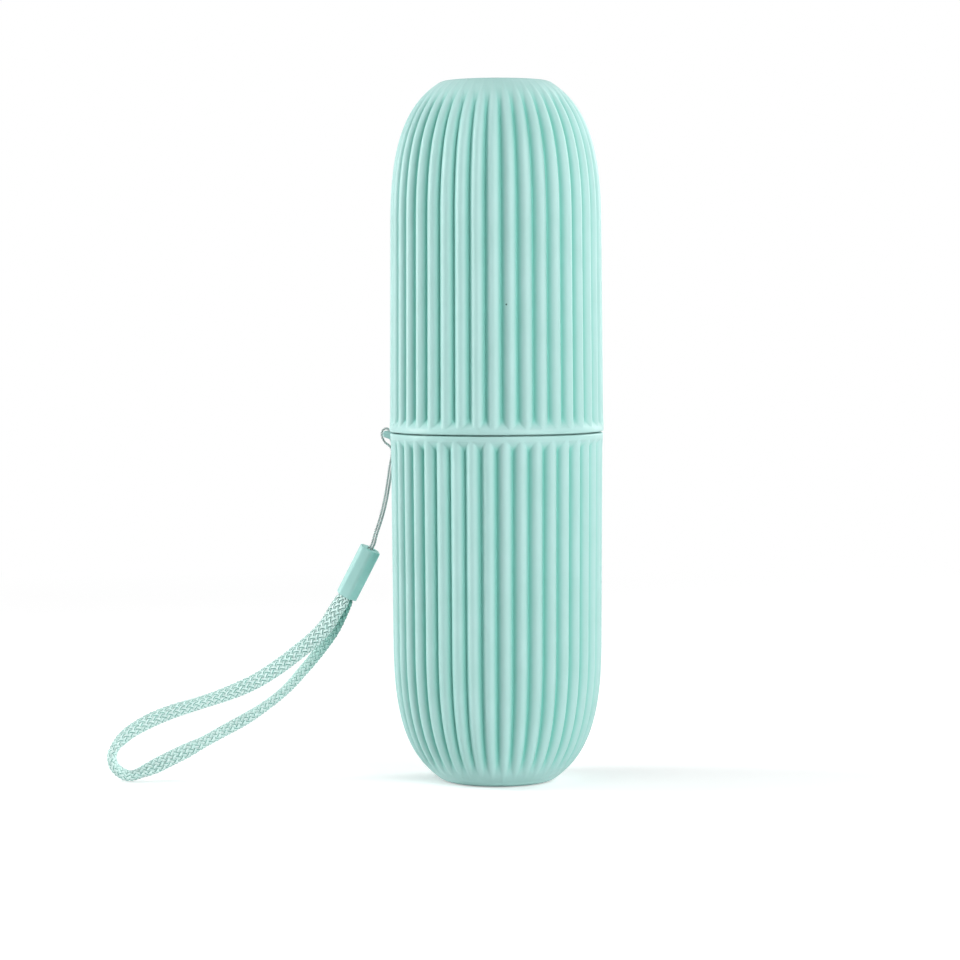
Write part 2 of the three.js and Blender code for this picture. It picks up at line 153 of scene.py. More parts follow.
def smooth_line(points: Sequence[Vector], steps: int = 24) -> List[Vector]:
    """Draws a smooth line through points that keeps close to them at sharp turns.

    Args:
        points: the points that the line goes through.
        steps: pieces drawn between each two points.

    Returns:
        The points of the smooth line.
    """
    ends = [2 * points[0] - points[1], *points, 2 * points[-1] - points[-2]]
    line: List[Vector] = []
    for a, b, c, d in zip(ends, ends[1:], ends[2:], ends[3:]):
        lead, span, trail = (math.sqrt((q - p).length) for p, q in ((a, b), (b, c), (c, d)))
        leave = ((b - a) / lead - (c - a) / (lead + span) + (c - b) / span) * span
        arrive = ((c - b) / span - (d - b) / (span + trail) + (d - c) / trail) * span
        for i in range(steps):
            t = i / steps
            square, cube = t * t, t * t * t
            line.append(
                b * (2 * cube - 3 * square + 1)
                + leave * (cube - 2 * square + t)
                + c * (3 * square - 2 * cube)
                + arrive * (cube - square)
            )
    return [*line, points[-1].copy()]


def full_turn(count: int) -> List[float]:
    """Angles that are evenly spaced round a circle."""
    return [TAU * i / count for i in range(count)]


def bend(start: Vector, corner: Vector, stop: Vector, share: float) -> Vector:
    """The place a share of the way round a corner, from where its round starts to where it stops."""
    return start * (1 - share) ** 2 + corner * (2 * share * (1 - share)) + stop * share ** 2


def softened(corners: Sequence[Point2], radius: float, steps: int = 4) -> List[Point2]:
    """Rounds the inner corners of an open outline and sets a point close beside each round.

    Args:
        corners: the outline's corners.
        radius: how far from a corner its round starts.
        steps: pieces in each round.

    Returns:
        The outline with round corners.
    """
    rounded = [corners[0]]
    for before, corner, after in zip(corners, corners[1:], corners[2:]):
        p, q, r = Vector(before), Vector(corner), Vector(after)
        start = min(radius, LONGEST_ROUND * (p - q).length)
        stop = min(radius, LONGEST_ROUND * (r - q).length)
        first, final = q + (p - q).normalized() * start, q + (r - q).normalized() * stop
        rounded.append(tuple(first + (first - q) * BESIDE_ROUND))
        rounded += [tuple(bend(first, q, final, i / steps)) for i in range(steps + 1)]
        rounded.append(tuple(final + (final - q) * BESIDE_ROUND))
    return [*rounded, corners[-1]]


class NodeBench:
    """A node tree that is being put together."""

    def __init__(self, tree: bpy.types.NodeTree) -> None:
        """Starts on a tree."""
        self.tree = tree

    def feed(self, socket: bpy.types.NodeSocket, source: Feed) -> None:
        """Joins a socket or node to an input, or sets the input's value.

        Args:
            socket: the input.
            source: what goes into it.
        """
        if isinstance(source, bpy.types.Node):
            self.tree.links.new(source.outputs[0], socket)
        elif isinstance(source, bpy.types.NodeSocket):
            self.tree.links.new(source, socket)
        else:
            socket.default_value = source

    def add(
        self, kind: str, feeds: Optional[Mapping[str, Feed]] = None, **settings: object
    ) -> bpy.types.Node:
        """Adds a node.

        Args:
            kind: the node's type.
            feeds: what goes into each input, by the input's name.
            settings: the node's own choices.

        Returns:
            The new node.
        """
        node = self.tree.nodes.new(kind)
        for name, value in settings.items():
            setattr(node, name, value)
        for name, source in (feeds or {}).items():
            self.feed(next(s for s in node.inputs if s.enabled and s.name == name), source)
        return node

    def math(self, operation: str, *sources: Feed) -> bpy.types.NodeSocket:
        """Adds a sum on numbers.

        Args:
            operation: which sum.
            sources: the numbers, in order.

        Returns:
            The result's socket.
        """
        node = self.add("ShaderNodeMath", operation=operation)
        for socket, source in zip(node.inputs, sources):
            self.feed(socket, source)
        return node.outputs[0]

    def scaled(self, vector: Feed, factor: Feed) -> bpy.types.NodeSocket:
        """A vector times a number."""
        feeds = {"Vector": vector, "Scale": factor}
        return self.add("ShaderNodeVectorMath", feeds, operation="SCALE").outputs[0]

    def total(self, *vectors: Feed) -> bpy.types.NodeSocket:
        """Adds vectors up.

        Args:
            vectors: two or more vectors.

        Returns:
            The sum's socket.
        """
        result = vectors[0]
        for vector in vectors[1:]:
            node = self.add("ShaderNodeVectorMath", operation="ADD")
            self.feed(node.inputs[0], result)
            self.feed(node.inputs[1], vector)
            result = node.outputs[0]
        return result

    def blend(self, share: Feed, low: Feed, high: Feed) -> bpy.types.NodeSocket:
        """Mixes two colours.

        Args:
            share: how much of the second colour.
            low: the first colour.
            high: the second colour.

        Returns:
            The mixed colour's socket.
        """
        node = self.add("ShaderNodeMix", {"Factor": share, "A": low, "B": high}, data_type="RGBA")
        return next(s for s in node.outputs if s.enabled)

    def ramp(self, value: Feed, low: float, high: float) -> bpy.types.NodeSocket:
        """Rises from 0 to 1 while a value goes from low to high.

        Args:
            value: the value.
            low: where the rise starts.
            high: where the rise ends.

        Returns:
            The share's socket.
        """
        feeds = {"Value": value, "From Min": low, "From Max": high}
        return self.add("ShaderNodeMapRange", feeds, interpolation_type="SMOOTHSTEP").outputs[0]

    def attribute(self, name: str) -> bpy.types.NodeSocket:
        """A number that the surface carries."""
        return self.add("ShaderNodeAttribute", attribute_name=name).outputs["Fac"]

    def noise(self, place: Feed, scale: float, detail: float) -> bpy.types.NodeSocket:
        """Soft noise, from 0 to 1."""
        feeds = {"Vector": place, "Scale": scale, "Detail": detail}
        return self.add("ShaderNodeTexNoise", feeds).outputs[0]

    def bump(self, height: Feed, depth: float, strength: float) -> bpy.types.Node:
        """A fine relief for a shader."""
        return self.add("ShaderNodeBump", {"Height": height, "Distance": depth, "Strength": strength})


class Dial(Enum):
    """Kinds of input that a shape's tree takes."""

    NUMBER = "NodeSocketFloat"
    COUNT = "NodeSocketInt"
    GUIDE = "NodeSocketObject"
    FINISH = "NodeSocketMaterial"


class ShapeTree:
    """A Geometry Nodes tree with named inputs that makes a piece as one plain mesh."""

    DIALS: Dict[str, Dial] = {}

    def __init__(self, name: str) -> None:
        """Builds the tree.

        Args:
            name: what the tree is called.
        """
        self.tree = bpy.data.node_groups.new(name, "GeometryNodeTree")
        self.bench = NodeBench(self.tree)
        for dial, kind in self.DIALS.items():
            self.tree.interface.new_socket(dial, in_out="INPUT", socket_type=kind.value)
        self.tree.interface.new_socket("Shape", in_out="OUTPUT", socket_type="NodeSocketGeometry")
        self.dials = self.bench.add("NodeGroupInput").outputs
        self.end(self.shape())

    def shape(self) -> bpy.types.NodeSocket:
        """The tree's own nodes, up to the shape."""
        raise NotImplementedError

    def guide(self) -> bpy.types.NodeSocket:
        """The points of the guide, which carry sizes from row to row or along a path."""
        info = self.bench.add("GeometryNodeObjectInfo", {"Object": self.dials["Guide"]})
        return info.outputs["Geometry"]

    def carried(self, name: str, kind: str, index: Feed) -> bpy.types.NodeSocket:
        """What the guide carries at one of its points.

        Args:
            name: the carried value's name, or nothing for the point's place.
            kind: the value's type.
            index: which of the guide's points.

        Returns:
            The value's socket.
        """
        if name:
            value = self.bench.add("GeometryNodeInputNamedAttribute", {"Name": name}, data_type=kind)
        else:
            value = self.bench.add("GeometryNodeInputPosition")
        feeds = {"Geometry": self.guide(), "Value": value, "Index": index}
        return self.bench.add("GeometryNodeSampleIndex", feeds, data_type=kind, domain="POINT").outputs[0]

    def mark(self, geometry: Feed, name: str, value: Feed) -> bpy.types.Node:
        """Keeps a number on each point, for the finish to read.

        Args:
            geometry: the points.
            name: the number's name.
            value: the number.

        Returns:
            The node that keeps it.
        """
        feeds = {"Geometry": geometry, "Name": name, "Value": value}
        return self.bench.add("GeometryNodeStoreNamedAttribute", feeds, data_type="FLOAT", domain="POINT")

    def end(self, shape: bpy.types.NodeSocket) -> None:
        """Ends the tree with smooth faces, real geometry and the finish.

        Args:
            shape: the shape's socket.
        """
        smooth = self.bench.add("GeometryNodeSetShadeSmooth", {"Geometry": shape})
        real = self.bench.add("GeometryNodeRealizeInstances", {"Geometry": smooth})
        feeds = {"Geometry": real, "Material": self.dials["Finish"]}
        dressed = self.bench.add("GeometryNodeSetMaterial", feeds)
        self.bench.add("NodeGroupOutput", {"Shape": dressed})

    def make(self, name: str, settings: Mapping[str, object]) -> bpy.types.Object:
        """Runs the tree once and keeps its result as a plain mesh.

        Args:
            name: the piece's name.
            settings: a value for each input, by name.

        Returns:
            The piece.
        """
        maker = new_object(f"{name}_maker", bpy.data.meshes.new(f"{name}_maker"))
        modifier = maker.modifiers.new("shape", "NODES")
        modifier.node_group = self.tree
        for item in self.tree.interface.items_tree:
            if item.in_out == "INPUT":
                modifier[item.identifier] = settings[item.name]
        graph = bpy.context.evaluated_depsgraph_get()
        mesh = bpy.data.meshes.new_from_object(maker.evaluated_get(graph), depsgraph=graph)
        maker.modifiers.remove(modifier)
        bpy.data.objects.remove(maker)
        # A grid starts with an empty slot of its own.
        if mesh.materials[0] is None:
            mesh.materials.pop(index=0)
        mesh.name = name
        return new_object(name, mesh)


def new_object(name: str, data: bpy.types.ID) -> bpy.types.Object:
    """Puts new data into the scene, at the origin.

    Args:
        name: the object's name.
        data: its mesh, lamp or camera.

    Returns:
        The object.
    """
    made = bpy.data.objects.new(name, data)
    bpy.context.scene.collection.objects.link(made)
    return made


def guide_points(
    name: str,
    points: Sequence[Vector],
    vectors: Optional[Mapping[str, Sequence[Vector]]] = None,
    numbers: Optional[Mapping[str, Sequence[float]]] = None,
) -> bpy.types.Object:
    """Makes a row of points for a tree to read, with values on each.

    Args:
        name: the guide's name.
        points: the places of the points.
        vectors: directions that the points carry, by name.
        numbers: sizes that the points carry, by name.

    Returns:
        The guide, which is removed once it is used.
    """
    mesh = bpy.data.meshes.new(name)
    mesh.from_pydata([tuple(point) for point in points], [], [])
    for key, values in (vectors or {}).items():
        layer = mesh.attributes.new(key, "FLOAT_VECTOR", "POINT")
        layer.data.foreach_set("vector", [part for value in values for part in value])
    for key, values in (numbers or {}).items():
        mesh.attributes.new(key, "FLOAT", "POINT").data.foreach_set("value", list(values))
    return new_object(name, mesh)


class ReededTurning(ShapeTree):
    """A turned body from a profile, with rounded ribs that run up it and end where the profile lets them."""

    DIALS = {
        "Guide": Dial.GUIDE,
        "Profile Rows": Dial.COUNT,
        "Ribs": Dial.COUNT,
        "Steps per Rib": Dial.COUNT,
        "Rib Depth": Dial.NUMBER,
        "Rib Curve": Dial.NUMBER,
        "Rib Radius": Dial.NUMBER,
        "Valley Softness": Dial.NUMBER,
        "Turn": Dial.NUMBER,
        "Weld": Dial.NUMBER,
        "Finish": Dial.FINISH,
    }

    def shape(self) -> bpy.types.NodeSocket:
        """Bends a grid round the axis and lets the grooves into it.

        Returns:
            The turned shape's socket.
        """
        bench, dials = self.bench, self.dials
        around = bench.math("MULTIPLY", dials["Ribs"], dials["Steps per Rib"])
        feeds = {"Vertices X": bench.math("ADD", around, 1.0), "Vertices Y": dials["Profile Rows"]}
        grid = bench.add("GeometryNodeMeshGrid", feeds)
        index = bench.add("GeometryNodeInputIndex")
        row = bench.math("MODULO", index, dials["Profile Rows"])
        column = bench.math("FLOOR", bench.math("DIVIDE", index, dials["Profile Rows"]))
        profile = bench.add("ShaderNodeSeparateXYZ", {"Vector": self.carried("", "FLOAT_VECTOR", row)})
        radius, limit, height = profile.outputs
        cut = self.groove(bench.math("DIVIDE", column, dials["Steps per Rib"]), radius, limit)
        reach = bench.math("SUBTRACT", radius, cut)
        whole = bench.math("MULTIPLY", bench.math("DIVIDE", column, around), TAU)
        turn = bench.math("ADD", whole, dials["Turn"])
        feeds = {
            "X": bench.math("MULTIPLY", reach, bench.math("COSINE", turn)),
            "Y": bench.math("MULTIPLY", reach, bench.math("SINE", turn)),
            "Z": height,
        }
        place = bench.add("ShaderNodeCombineXYZ", feeds)
        narrowing = bench.math("DIVIDE", radius, dials["Rib Radius"])
        deepest = bench.math("MULTIPLY", dials["Rib Depth"], narrowing)
        marked = self.mark(grid.outputs["Mesh"], "groove", bench.math("DIVIDE", cut, deepest))
        moved = bench.add("GeometryNodeSetPosition", {"Geometry": marked, "Position": place})
        feeds = {"Geometry": moved, "Distance": dials["Weld"]}
        return bench.add("GeometryNodeMergeByDistance", feeds).outputs[0]

    def groove(self, ribs_on: Feed, radius: Feed, limit: Feed) -> bpy.types.NodeSocket:
        """How far a place lies below the crest of its rib.

        Args:
            ribs_on: how many ribs round from the first crest.
            radius: the crest's radius in this row.
            limit: the deepest groove that this row takes.

        Returns:
            The depth's socket.
        """
        bench, dials = self.bench, self.dials
        aside = bench.math("MULTIPLY", bench.math("PINGPONG", ribs_on, 0.5), 2.0)
        fall = bench.math("MULTIPLY", bench.math("POWER", aside, dials["Rib Curve"]), dials["Rib Depth"])
        sag = bench.math("MULTIPLY", fall, bench.math("DIVIDE", radius, dials["Rib Radius"]))
        cut = bench.math("SMOOTH_MIN", sag, limit, dials["Valley Softness"])
        return bench.math("MAXIMUM", cut, 0.0)


class WoundCord(ShapeTree):
    """Plies laid round a path: one way as in a twisted string, or over and under as in a braid."""

    DIALS = {
        "Guide": Dial.GUIDE,
        "Samples": Dial.COUNT,
        "Plies": Dial.COUNT,
        "Ways": Dial.COUNT,
        "Turns": Dial.NUMBER,
        "Weave Height": Dial.NUMBER,
        "Ply Width": Dial.NUMBER,
        "Ply Thickness": Dial.NUMBER,
        "Ply Sides": Dial.COUNT,
        "Finish": Dial.FINISH,
    }

    def shape(self) -> bpy.types.NodeSocket:
        """Lays the plies and gives each its oval section.

        Returns:
            The cord's socket.
        """
        bench, dials = self.bench, self.dials
        index = bench.add("GeometryNodeInputIndex")
        sample = bench.math("MODULO", index, dials["Samples"])
        ply = bench.math("FLOOR", bench.math("DIVIDE", index, dials["Samples"]))
        back = bench.math("GREATER_THAN", ply, bench.math("SUBTRACT", dials["Plies"], 0.5))
        way = bench.math("SUBTRACT", 1.0, bench.math("MULTIPLY", back, 2.0))
        share = bench.math("DIVIDE", sample, bench.math("SUBTRACT", dials["Samples"], 1.0))
        wound = bench.math("MULTIPLY", bench.math("MULTIPLY", share, dials["Turns"]), TAU)
        start = bench.math("DIVIDE", bench.math("MULTIPLY", ply, TAU), dials["Plies"])
        angle = bench.math("ADD", bench.math("MULTIPLY", wound, way), start)
        wave = bench.math("COSINE", bench.math("MULTIPLY", wound, dials["Plies"]))
        lift = bench.math("MULTIPLY", bench.math("MULTIPLY", wave, way), dials["Weave Height"])
        along_wide, along_thin = bench.math("COSINE", angle), bench.math("SINE", angle)
        wide = self.carried("wide", "FLOAT_VECTOR", sample)
        thin = self.carried("thin", "FLOAT_VECTOR", sample)
        half_wide = self.carried("half_wide", "FLOAT", sample)
        half_thin = self.carried("half_thin", "FLOAT", sample)
        slope = bench.total(
            bench.scaled(wide, bench.math("MULTIPLY", along_wide, half_thin)),
            bench.scaled(thin, bench.math("MULTIPLY", along_thin, half_wide)),
        )
        outward = bench.add("ShaderNodeVectorMath", {"Vector": slope}, operation="NORMALIZE").outputs[0]
        place = bench.total(
            self.carried("", "FLOAT_VECTOR", sample),
            bench.scaled(wide, bench.math("MULTIPLY", along_wide, half_wide)),
            bench.scaled(thin, bench.math("MULTIPLY", along_thin, half_thin)),
            bench.scaled(outward, lift),
        )
        plies = bench.math("MULTIPLY", dials["Plies"], dials["Ways"])
        feeds = {"Count": bench.math("MULTIPLY", plies, dials["Samples"]), "Position": place}
        points = bench.add("GeometryNodePoints", feeds)
        marked = self.mark(self.mark(points, "along", share), "ply", ply)
        feeds = {"Geometry": marked, "Name": "outward", "Value": outward}
        marked = bench.add("GeometryNodeStoreNamedAttribute", feeds, data_type="FLOAT_VECTOR", domain="POINT")
        feeds = {"Points": marked, "Curve Group ID": ply, "Weight": sample}
        lines = bench.add("GeometryNodePointsToCurves", feeds)
        kept = bench.add("GeometryNodeInputNamedAttribute", {"Name": "outward"}, data_type="FLOAT_VECTOR")
        lines = bench.add("GeometryNodeSetCurveNormal", {"Curve": lines}, mode="FREE")
        bench.feed(lines.inputs["Normal"], kept)
        feeds = {"Curve": lines, "Profile Curve": self.section(), "Fill Caps": True}
        return bench.add("GeometryNodeCurveToMesh", feeds).outputs[0]

    def section(self) -> bpy.types.Node:
        """The oval section of a ply, with its place round the ply kept on it.

        Returns:
            The section's node.
        """
        bench, dials = self.bench, self.dials
        feeds = {"Resolution": dials["Ply Sides"], "Radius": 0.5}
        circle = bench.add("GeometryNodeCurvePrimitiveCircle", feeds)
        feeds = {"X": dials["Ply Thickness"], "Y": dials["Ply Width"], "Z": 1.0}
        sizes = bench.add("ShaderNodeCombineXYZ", feeds)
        feeds = {"Geometry": circle.outputs["Curve"], "Scale": sizes}
        oval = bench.add("GeometryNodeTransform", feeds)
        index = bench.add("GeometryNodeInputIndex")
        return self.mark(oval, "around", bench.math("DIVIDE", index, dials["Ply Sides"]))


class Finish:
    """A surface finish, built once as a node material."""

    name: str

    def material(self) -> bpy.types.Material:
        """Builds the finish, or finds it where it is built already.

        Returns:
            The material.
        """
        made = bpy.data.materials.get(self.name)
        if made is None:
            made = bpy.data.materials.new(self.name)
            made.use_nodes = True
            self.dress(NodeBench(made.node_tree), made.node_tree.nodes["Principled BSDF"])
        return made

    def dress(self, bench: NodeBench, surface: bpy.types.Node) -> None:
        """Joins the finish's own nodes to the shader."""
        raise NotImplementedError


@dataclass(frozen=True)
class MouldedPlastic(Finish):
    """Matte moulded plastic, faintly clouded, with painted shade deeper in its grooves, duller on flat ends,
    with flecks.
    """

    name: str
    colour: Colour
    cloud: Colour
    # Painted shade: the colour that each groove darkens to at its bottom, from a small share of its depth
    # down.
    painted_groove_shade: Colour = paint(126, 199, 187)
    painted_groove_shade_start: float = 0.05
    specular: float = 0.25
    fleck: Colour = paint(80, 116, 110)
    roughness: float = 0.33
    roughness_swing: float = 0.1
    flat_start: float = 0.86
    flat_full: float = 0.94
    flat_roughness: float = 0.45
    cloud_scale: float = 70.0
    cloud_detail: float = 4.0
    cloud_low: float = 0.35
    cloud_high: float = 0.65
    grain_scale: float = 2600.0
    grain_detail: float = 2.0
    grain_depth: float = 0.03 * MM
    grain_strength: float = 0.6
    fleck_scale: float = 62.0
    fleck_size: float = 0.02
    fleck_core: float = 0.6

    def dress(self, bench: NodeBench, surface: bpy.types.Node) -> None:
        """Joins cloud, painted groove shade, flecks and grain to the shader.

        Args:
            bench: the material's nodes.
            surface: its shader.
        """
        where = bench.add("ShaderNodeTexCoord")
        place = where.outputs["Object"]
        cloud = bench.noise(place, self.cloud_scale, self.cloud_detail)
        colour = bench.blend(bench.ramp(cloud, self.cloud_low, self.cloud_high), self.colour, self.cloud)
        groove = bench.attribute("groove")
        # Painted shade, deepening towards the bottom of each groove.
        colour = bench.blend(bench.ramp(groove, self.painted_groove_shade_start, 1.0), colour, self.painted_groove_shade)
        spots = bench.add("ShaderNodeTexVoronoi", {"Vector": place, "Scale": self.fleck_scale})
        clear = bench.ramp(spots.outputs["Distance"], self.fleck_size * self.fleck_core, self.fleck_size)
        bench.feed(surface.inputs["Base Color"], bench.blend(clear, self.fleck, colour))
        upright = bench.add("ShaderNodeSeparateXYZ", {"Vector": where.outputs["Normal"]}).outputs["Z"]
        flat = bench.ramp(bench.math("ABSOLUTE", upright), self.flat_start, self.flat_full)
        rough = bench.math("MULTIPLY_ADD", cloud, self.roughness_swing, self.roughness)
        rough = bench.math("MULTIPLY_ADD", flat, self.flat_roughness, rough)
        bench.feed(surface.inputs["Roughness"], rough)
        surface.inputs["Specular IOR Level"].default_value = self.specular
        grain = bench.noise(place, self.grain_scale, self.grain_detail)
        bench.feed(surface.inputs["Normal"], bench.bump(grain, self.grain_depth, self.grain_strength))


@dataclass(frozen=True)
class SpunYarn(Finish):
    """Plies of fine filaments, each a little lighter or darker, with painted shade on each ply's sides and
    painted shade near the sleeve.
    """

    name: str
    colour: Colour
    shade: Colour
    # Painted shade on each ply's sides and in the gaps between plies; it fades out towards the ply's crown.
    painted_flank_shade: Colour
    # Painted shade near the sleeve: a deeper yarn colour towards the cord's last end and deeper gaps towards
    # both its ends.
    painted_sleeve_shade: Colour
    painted_sleeve_gap_shade: Colour
    painted_flank_shade_start: float = -0.4
    painted_flank_shade_end: float = 0.5
    sleeve_shade_start: float = 0.05
    sleeve_shade_end: float = 0.24
    filaments: float = 7.0
    filament_run: float = 120.0
    filament_detail: float = 3.0
    filament_low: float = 0.3
    filament_high: float = 0.75
    filament_depth: float = 0.08 * MM
    filament_strength: float = 0.7
    ply_shift: float = 17.3
    ply_swing: float = 0.3
    roughness: float = 0.62
    sheen: float = 0.3

    def dress(self, bench: NodeBench, surface: bpy.types.Node) -> None:
        """Joins the filaments, which follow each ply, and the painted shade to the shader.

        Args:
            bench: the material's nodes.
            surface: its shader.
        """
        around, along, ply = (bench.attribute(name) for name in ("around", "along", "ply"))
        turn = bench.math("MULTIPLY", around, TAU)
        crown = bench.math("COSINE", turn)
        shift = bench.math("MULTIPLY", ply, self.ply_shift)
        feeds = {
            "X": bench.math("MULTIPLY", crown, self.filaments),
            "Y": bench.math("MULTIPLY", bench.math("SINE", turn), self.filaments),
            "Z": bench.math("MULTIPLY_ADD", along, self.filament_run, shift),
        }
        fibre_place = bench.add("ShaderNodeCombineXYZ", feeds)
        fibre = bench.noise(fibre_place, 1.0, self.filament_detail)
        tone = bench.add("ShaderNodeTexWhiteNoise", noise_dimensions="1D")
        bench.feed(tone.inputs["W"], ply)
        light = bench.ramp(fibre, self.filament_low, self.filament_high)
        share = bench.math("MULTIPLY_ADD", tone.outputs["Value"], self.ply_swing, light)
        yarn = bench.blend(share, self.shade, self.colour)
        # Painted shade on the yarn towards the cord's last end, the run that lies behind at the sleeve.
        before = bench.ramp(along, 1.0 - self.sleeve_shade_start, 1.0 - self.sleeve_shade_end)
        yarn = bench.blend(before, self.painted_sleeve_shade, yarn)
        # Painted shade in the gaps, deeper towards both ends of the cord, at the sleeve.
        free = bench.ramp(bench.math("PINGPONG", along, 0.5), self.sleeve_shade_start, self.sleeve_shade_end)
        painted_flank_shade = bench.blend(free, self.painted_sleeve_gap_shade, self.painted_flank_shade)
        # Painted shade on each ply's sides, lightening towards its crown.
        upper = bench.ramp(crown, self.painted_flank_shade_start, self.painted_flank_shade_end)
        bench.feed(surface.inputs["Base Color"], bench.blend(upper, painted_flank_shade, yarn))
        surface.inputs["Roughness"].default_value = self.roughness
        surface.inputs["Sheen Weight"].default_value = self.sheen
        relief = bench.bump(fibre, self.filament_depth, self.filament_strength)
        bench.feed(surface.inputs["Normal"], relief)


@dataclass(frozen=True)
class FloorPaint(Finish):
    """A plain white floor that fades into the white behind it and keeps the object's shadow."""

    name: str = "studio_floor_white"
    colour: Colour = (0.86, 0.86, 0.86, 1.0)
    roughness: float = 0.9
    lift: float = 0.36
    fade_start: float = 0.3
    fade_end: float = 0.75

    def dress(self, bench: NodeBench, surface: bpy.types.Node) -> None:
        """Joins the fade from lit floor to plain white.

        Args:
            bench: the material's nodes.
            surface: its shader.
        """
        surface.inputs["Base Color"].default_value = self.colour
        surface.inputs["Roughness"].default_value = self.roughness
        surface.inputs["Specular IOR Level"].default_value = 0.0
        place = bench.add("ShaderNodeTexCoord").outputs["Object"]
        far = bench.add("ShaderNodeVectorMath", {"Vector": place}, operation="LENGTH").outputs["Value"]
        seen = seen_or_mirrored(bench)
        glow = bench.add("ShaderNodeEmission", {"Strength": bench.math("MULTIPLY", seen, self.lift)})
        lit = bench.add("ShaderNodeAddShader")
        bench.feed(lit.inputs[0], surface)
        bench.feed(lit.inputs[1], glow)
        plain = bench.add("ShaderNodeEmission", {"Strength": 1.0})
        both = bench.add("ShaderNodeMixShader")
        away = bench.ramp(far, self.fade_start, self.fade_end)
        bench.feed(both.inputs[0], bench.math("MULTIPLY", away, seen))
        bench.feed(both.inputs[1], lit)
        bench.feed(both.inputs[2], plain)
        bench.feed(bench.tree.nodes["Material Output"].inputs["Surface"], both)


def seen_or_mirrored(bench: NodeBench) -> bpy.types.NodeSocket:
    """Is 1 for what is seen, straight or in a reflection, and 0 for light that falls on the object.

    Args:
        bench: the nodes to add it to.

    Returns:
        The answer's socket.
    """
    rays = bench.add("ShaderNodeLightPath").outputs
    reflected = bench.math("MAXIMUM", rays["Is Glossy Ray"], rays["Is Transmission Ray"])
    return bench.math("MAXIMUM", rays["Is Camera Ray"], reflected)


def lofted(name: str, bodies: Sequence[Sequence[Sequence[Vector]]], looped: bool) -> bpy.types.Object:
    """Joins rings of points into closed, smooth bodies of one piece.

    Args:
        name: the piece's name.
        bodies: the rings of each body in order, all with as many points.
        looped: whether a body's last ring joins its first; if not, both ends are capped.

    Returns:
        The piece.
    """
    shape = bmesh.new()
    for rings in bodies:
        corners = [[shape.verts.new(point) for point in ring] for ring in rings]
        pairs = list(zip(corners, corners[1:]))
        if looped:
            pairs.append((corners[-1], corners[0]))
        else:
            shape.faces.new(list(reversed(corners[0])))
            shape.faces.new(corners[-1])
        for low, high in pairs:
            for j, start in enumerate(low):
                k = (j + 1) % len(low)
                shape.faces.new((start, low[k], high[k], high[j]))
    bmesh.ops.recalc_face_normals(shape, faces=shape.faces)
    for face in shape.faces:
        face.smooth = True
    mesh = bpy.data.meshes.new(name)
    shape.to_mesh(mesh)
    shape.free()
    return new_object(name, mesh)


def drawn_in(outline: Sequence[Point2], depth: float) -> List[Point2]:
    """Draws a closed outline in by the same depth all round.

    Args:
        outline: its points, the inside on their left.
        depth: how far it is drawn in.

    Returns:
        The smaller outline, with as many points.
    """
    count = len(outline)
    smaller = []
    for i, spot in enumerate(outline):
        ahead = (Vector(outline[(i + 1) % count]) - Vector(outline[i - 1])).normalized()
        smaller.append((spot[0] - ahead.y * depth, spot[1] + ahead.x * depth))
    return smaller


def give(piece: bpy.types.Object, finish: Finish) -> None:
    """Gives a piece made in mesh code its finish."""
    piece.data.materials.append(finish.material())


MINT_SHELL = MouldedPlastic("mint_shell_plastic", colour=paint(168, 210, 205), cloud=paint(173, 213, 209))
MINT_COLLAR = MouldedPlastic(
    "mint_collar_plastic", colour=paint(168, 217, 209), cloud=paint(174, 220, 213), fleck_size=0.012
)
MINT_SLEEVE = MouldedPlastic(
    "mint_sleeve_plastic", colour=paint(166, 212, 207), cloud=paint(171, 215, 210), roughness=0.36
)
# In both yarns below, the darker side colours are painted shade, and so are the colours near the sleeve.
SILVER_STRING = SpunYarn(
    "silver_string_yarn",
    colour=paint(236, 239, 238),
    shade=paint(200, 206, 204),
    painted_flank_shade=paint(158, 166, 164),
    painted_sleeve_shade=paint(228, 232, 231),
    painted_sleeve_gap_shade=paint(150, 158, 156),
    sheen=0.15,
)
MINT_BRAID = SpunYarn(
    "mint_braid_yarn",
    colour=paint(232, 250, 247),
    shade=paint(202, 238, 232),
    painted_flank_shade=paint(82, 158, 145),
    painted_sleeve_shade=paint(120, 184, 172),
    painted_sleeve_gap_shade=paint(34, 106, 94),
)


@dataclass(frozen=True)
class Ribs:
    """The ribs round a turned body, or none."""

    count: int = 1
    steps: int = 240
    depth: float = 0.0
    curve: float = 1.0
    radius: float = 1.0
    softness: float = 0.0
    turn: float = 0.0


PLAIN = Ribs()
SHELL_RIBS = Ribs(
    count=40, steps=16, depth=1.9 * MM, curve=2.0, radius=30.0 * MM, softness=0.05 * MM
)


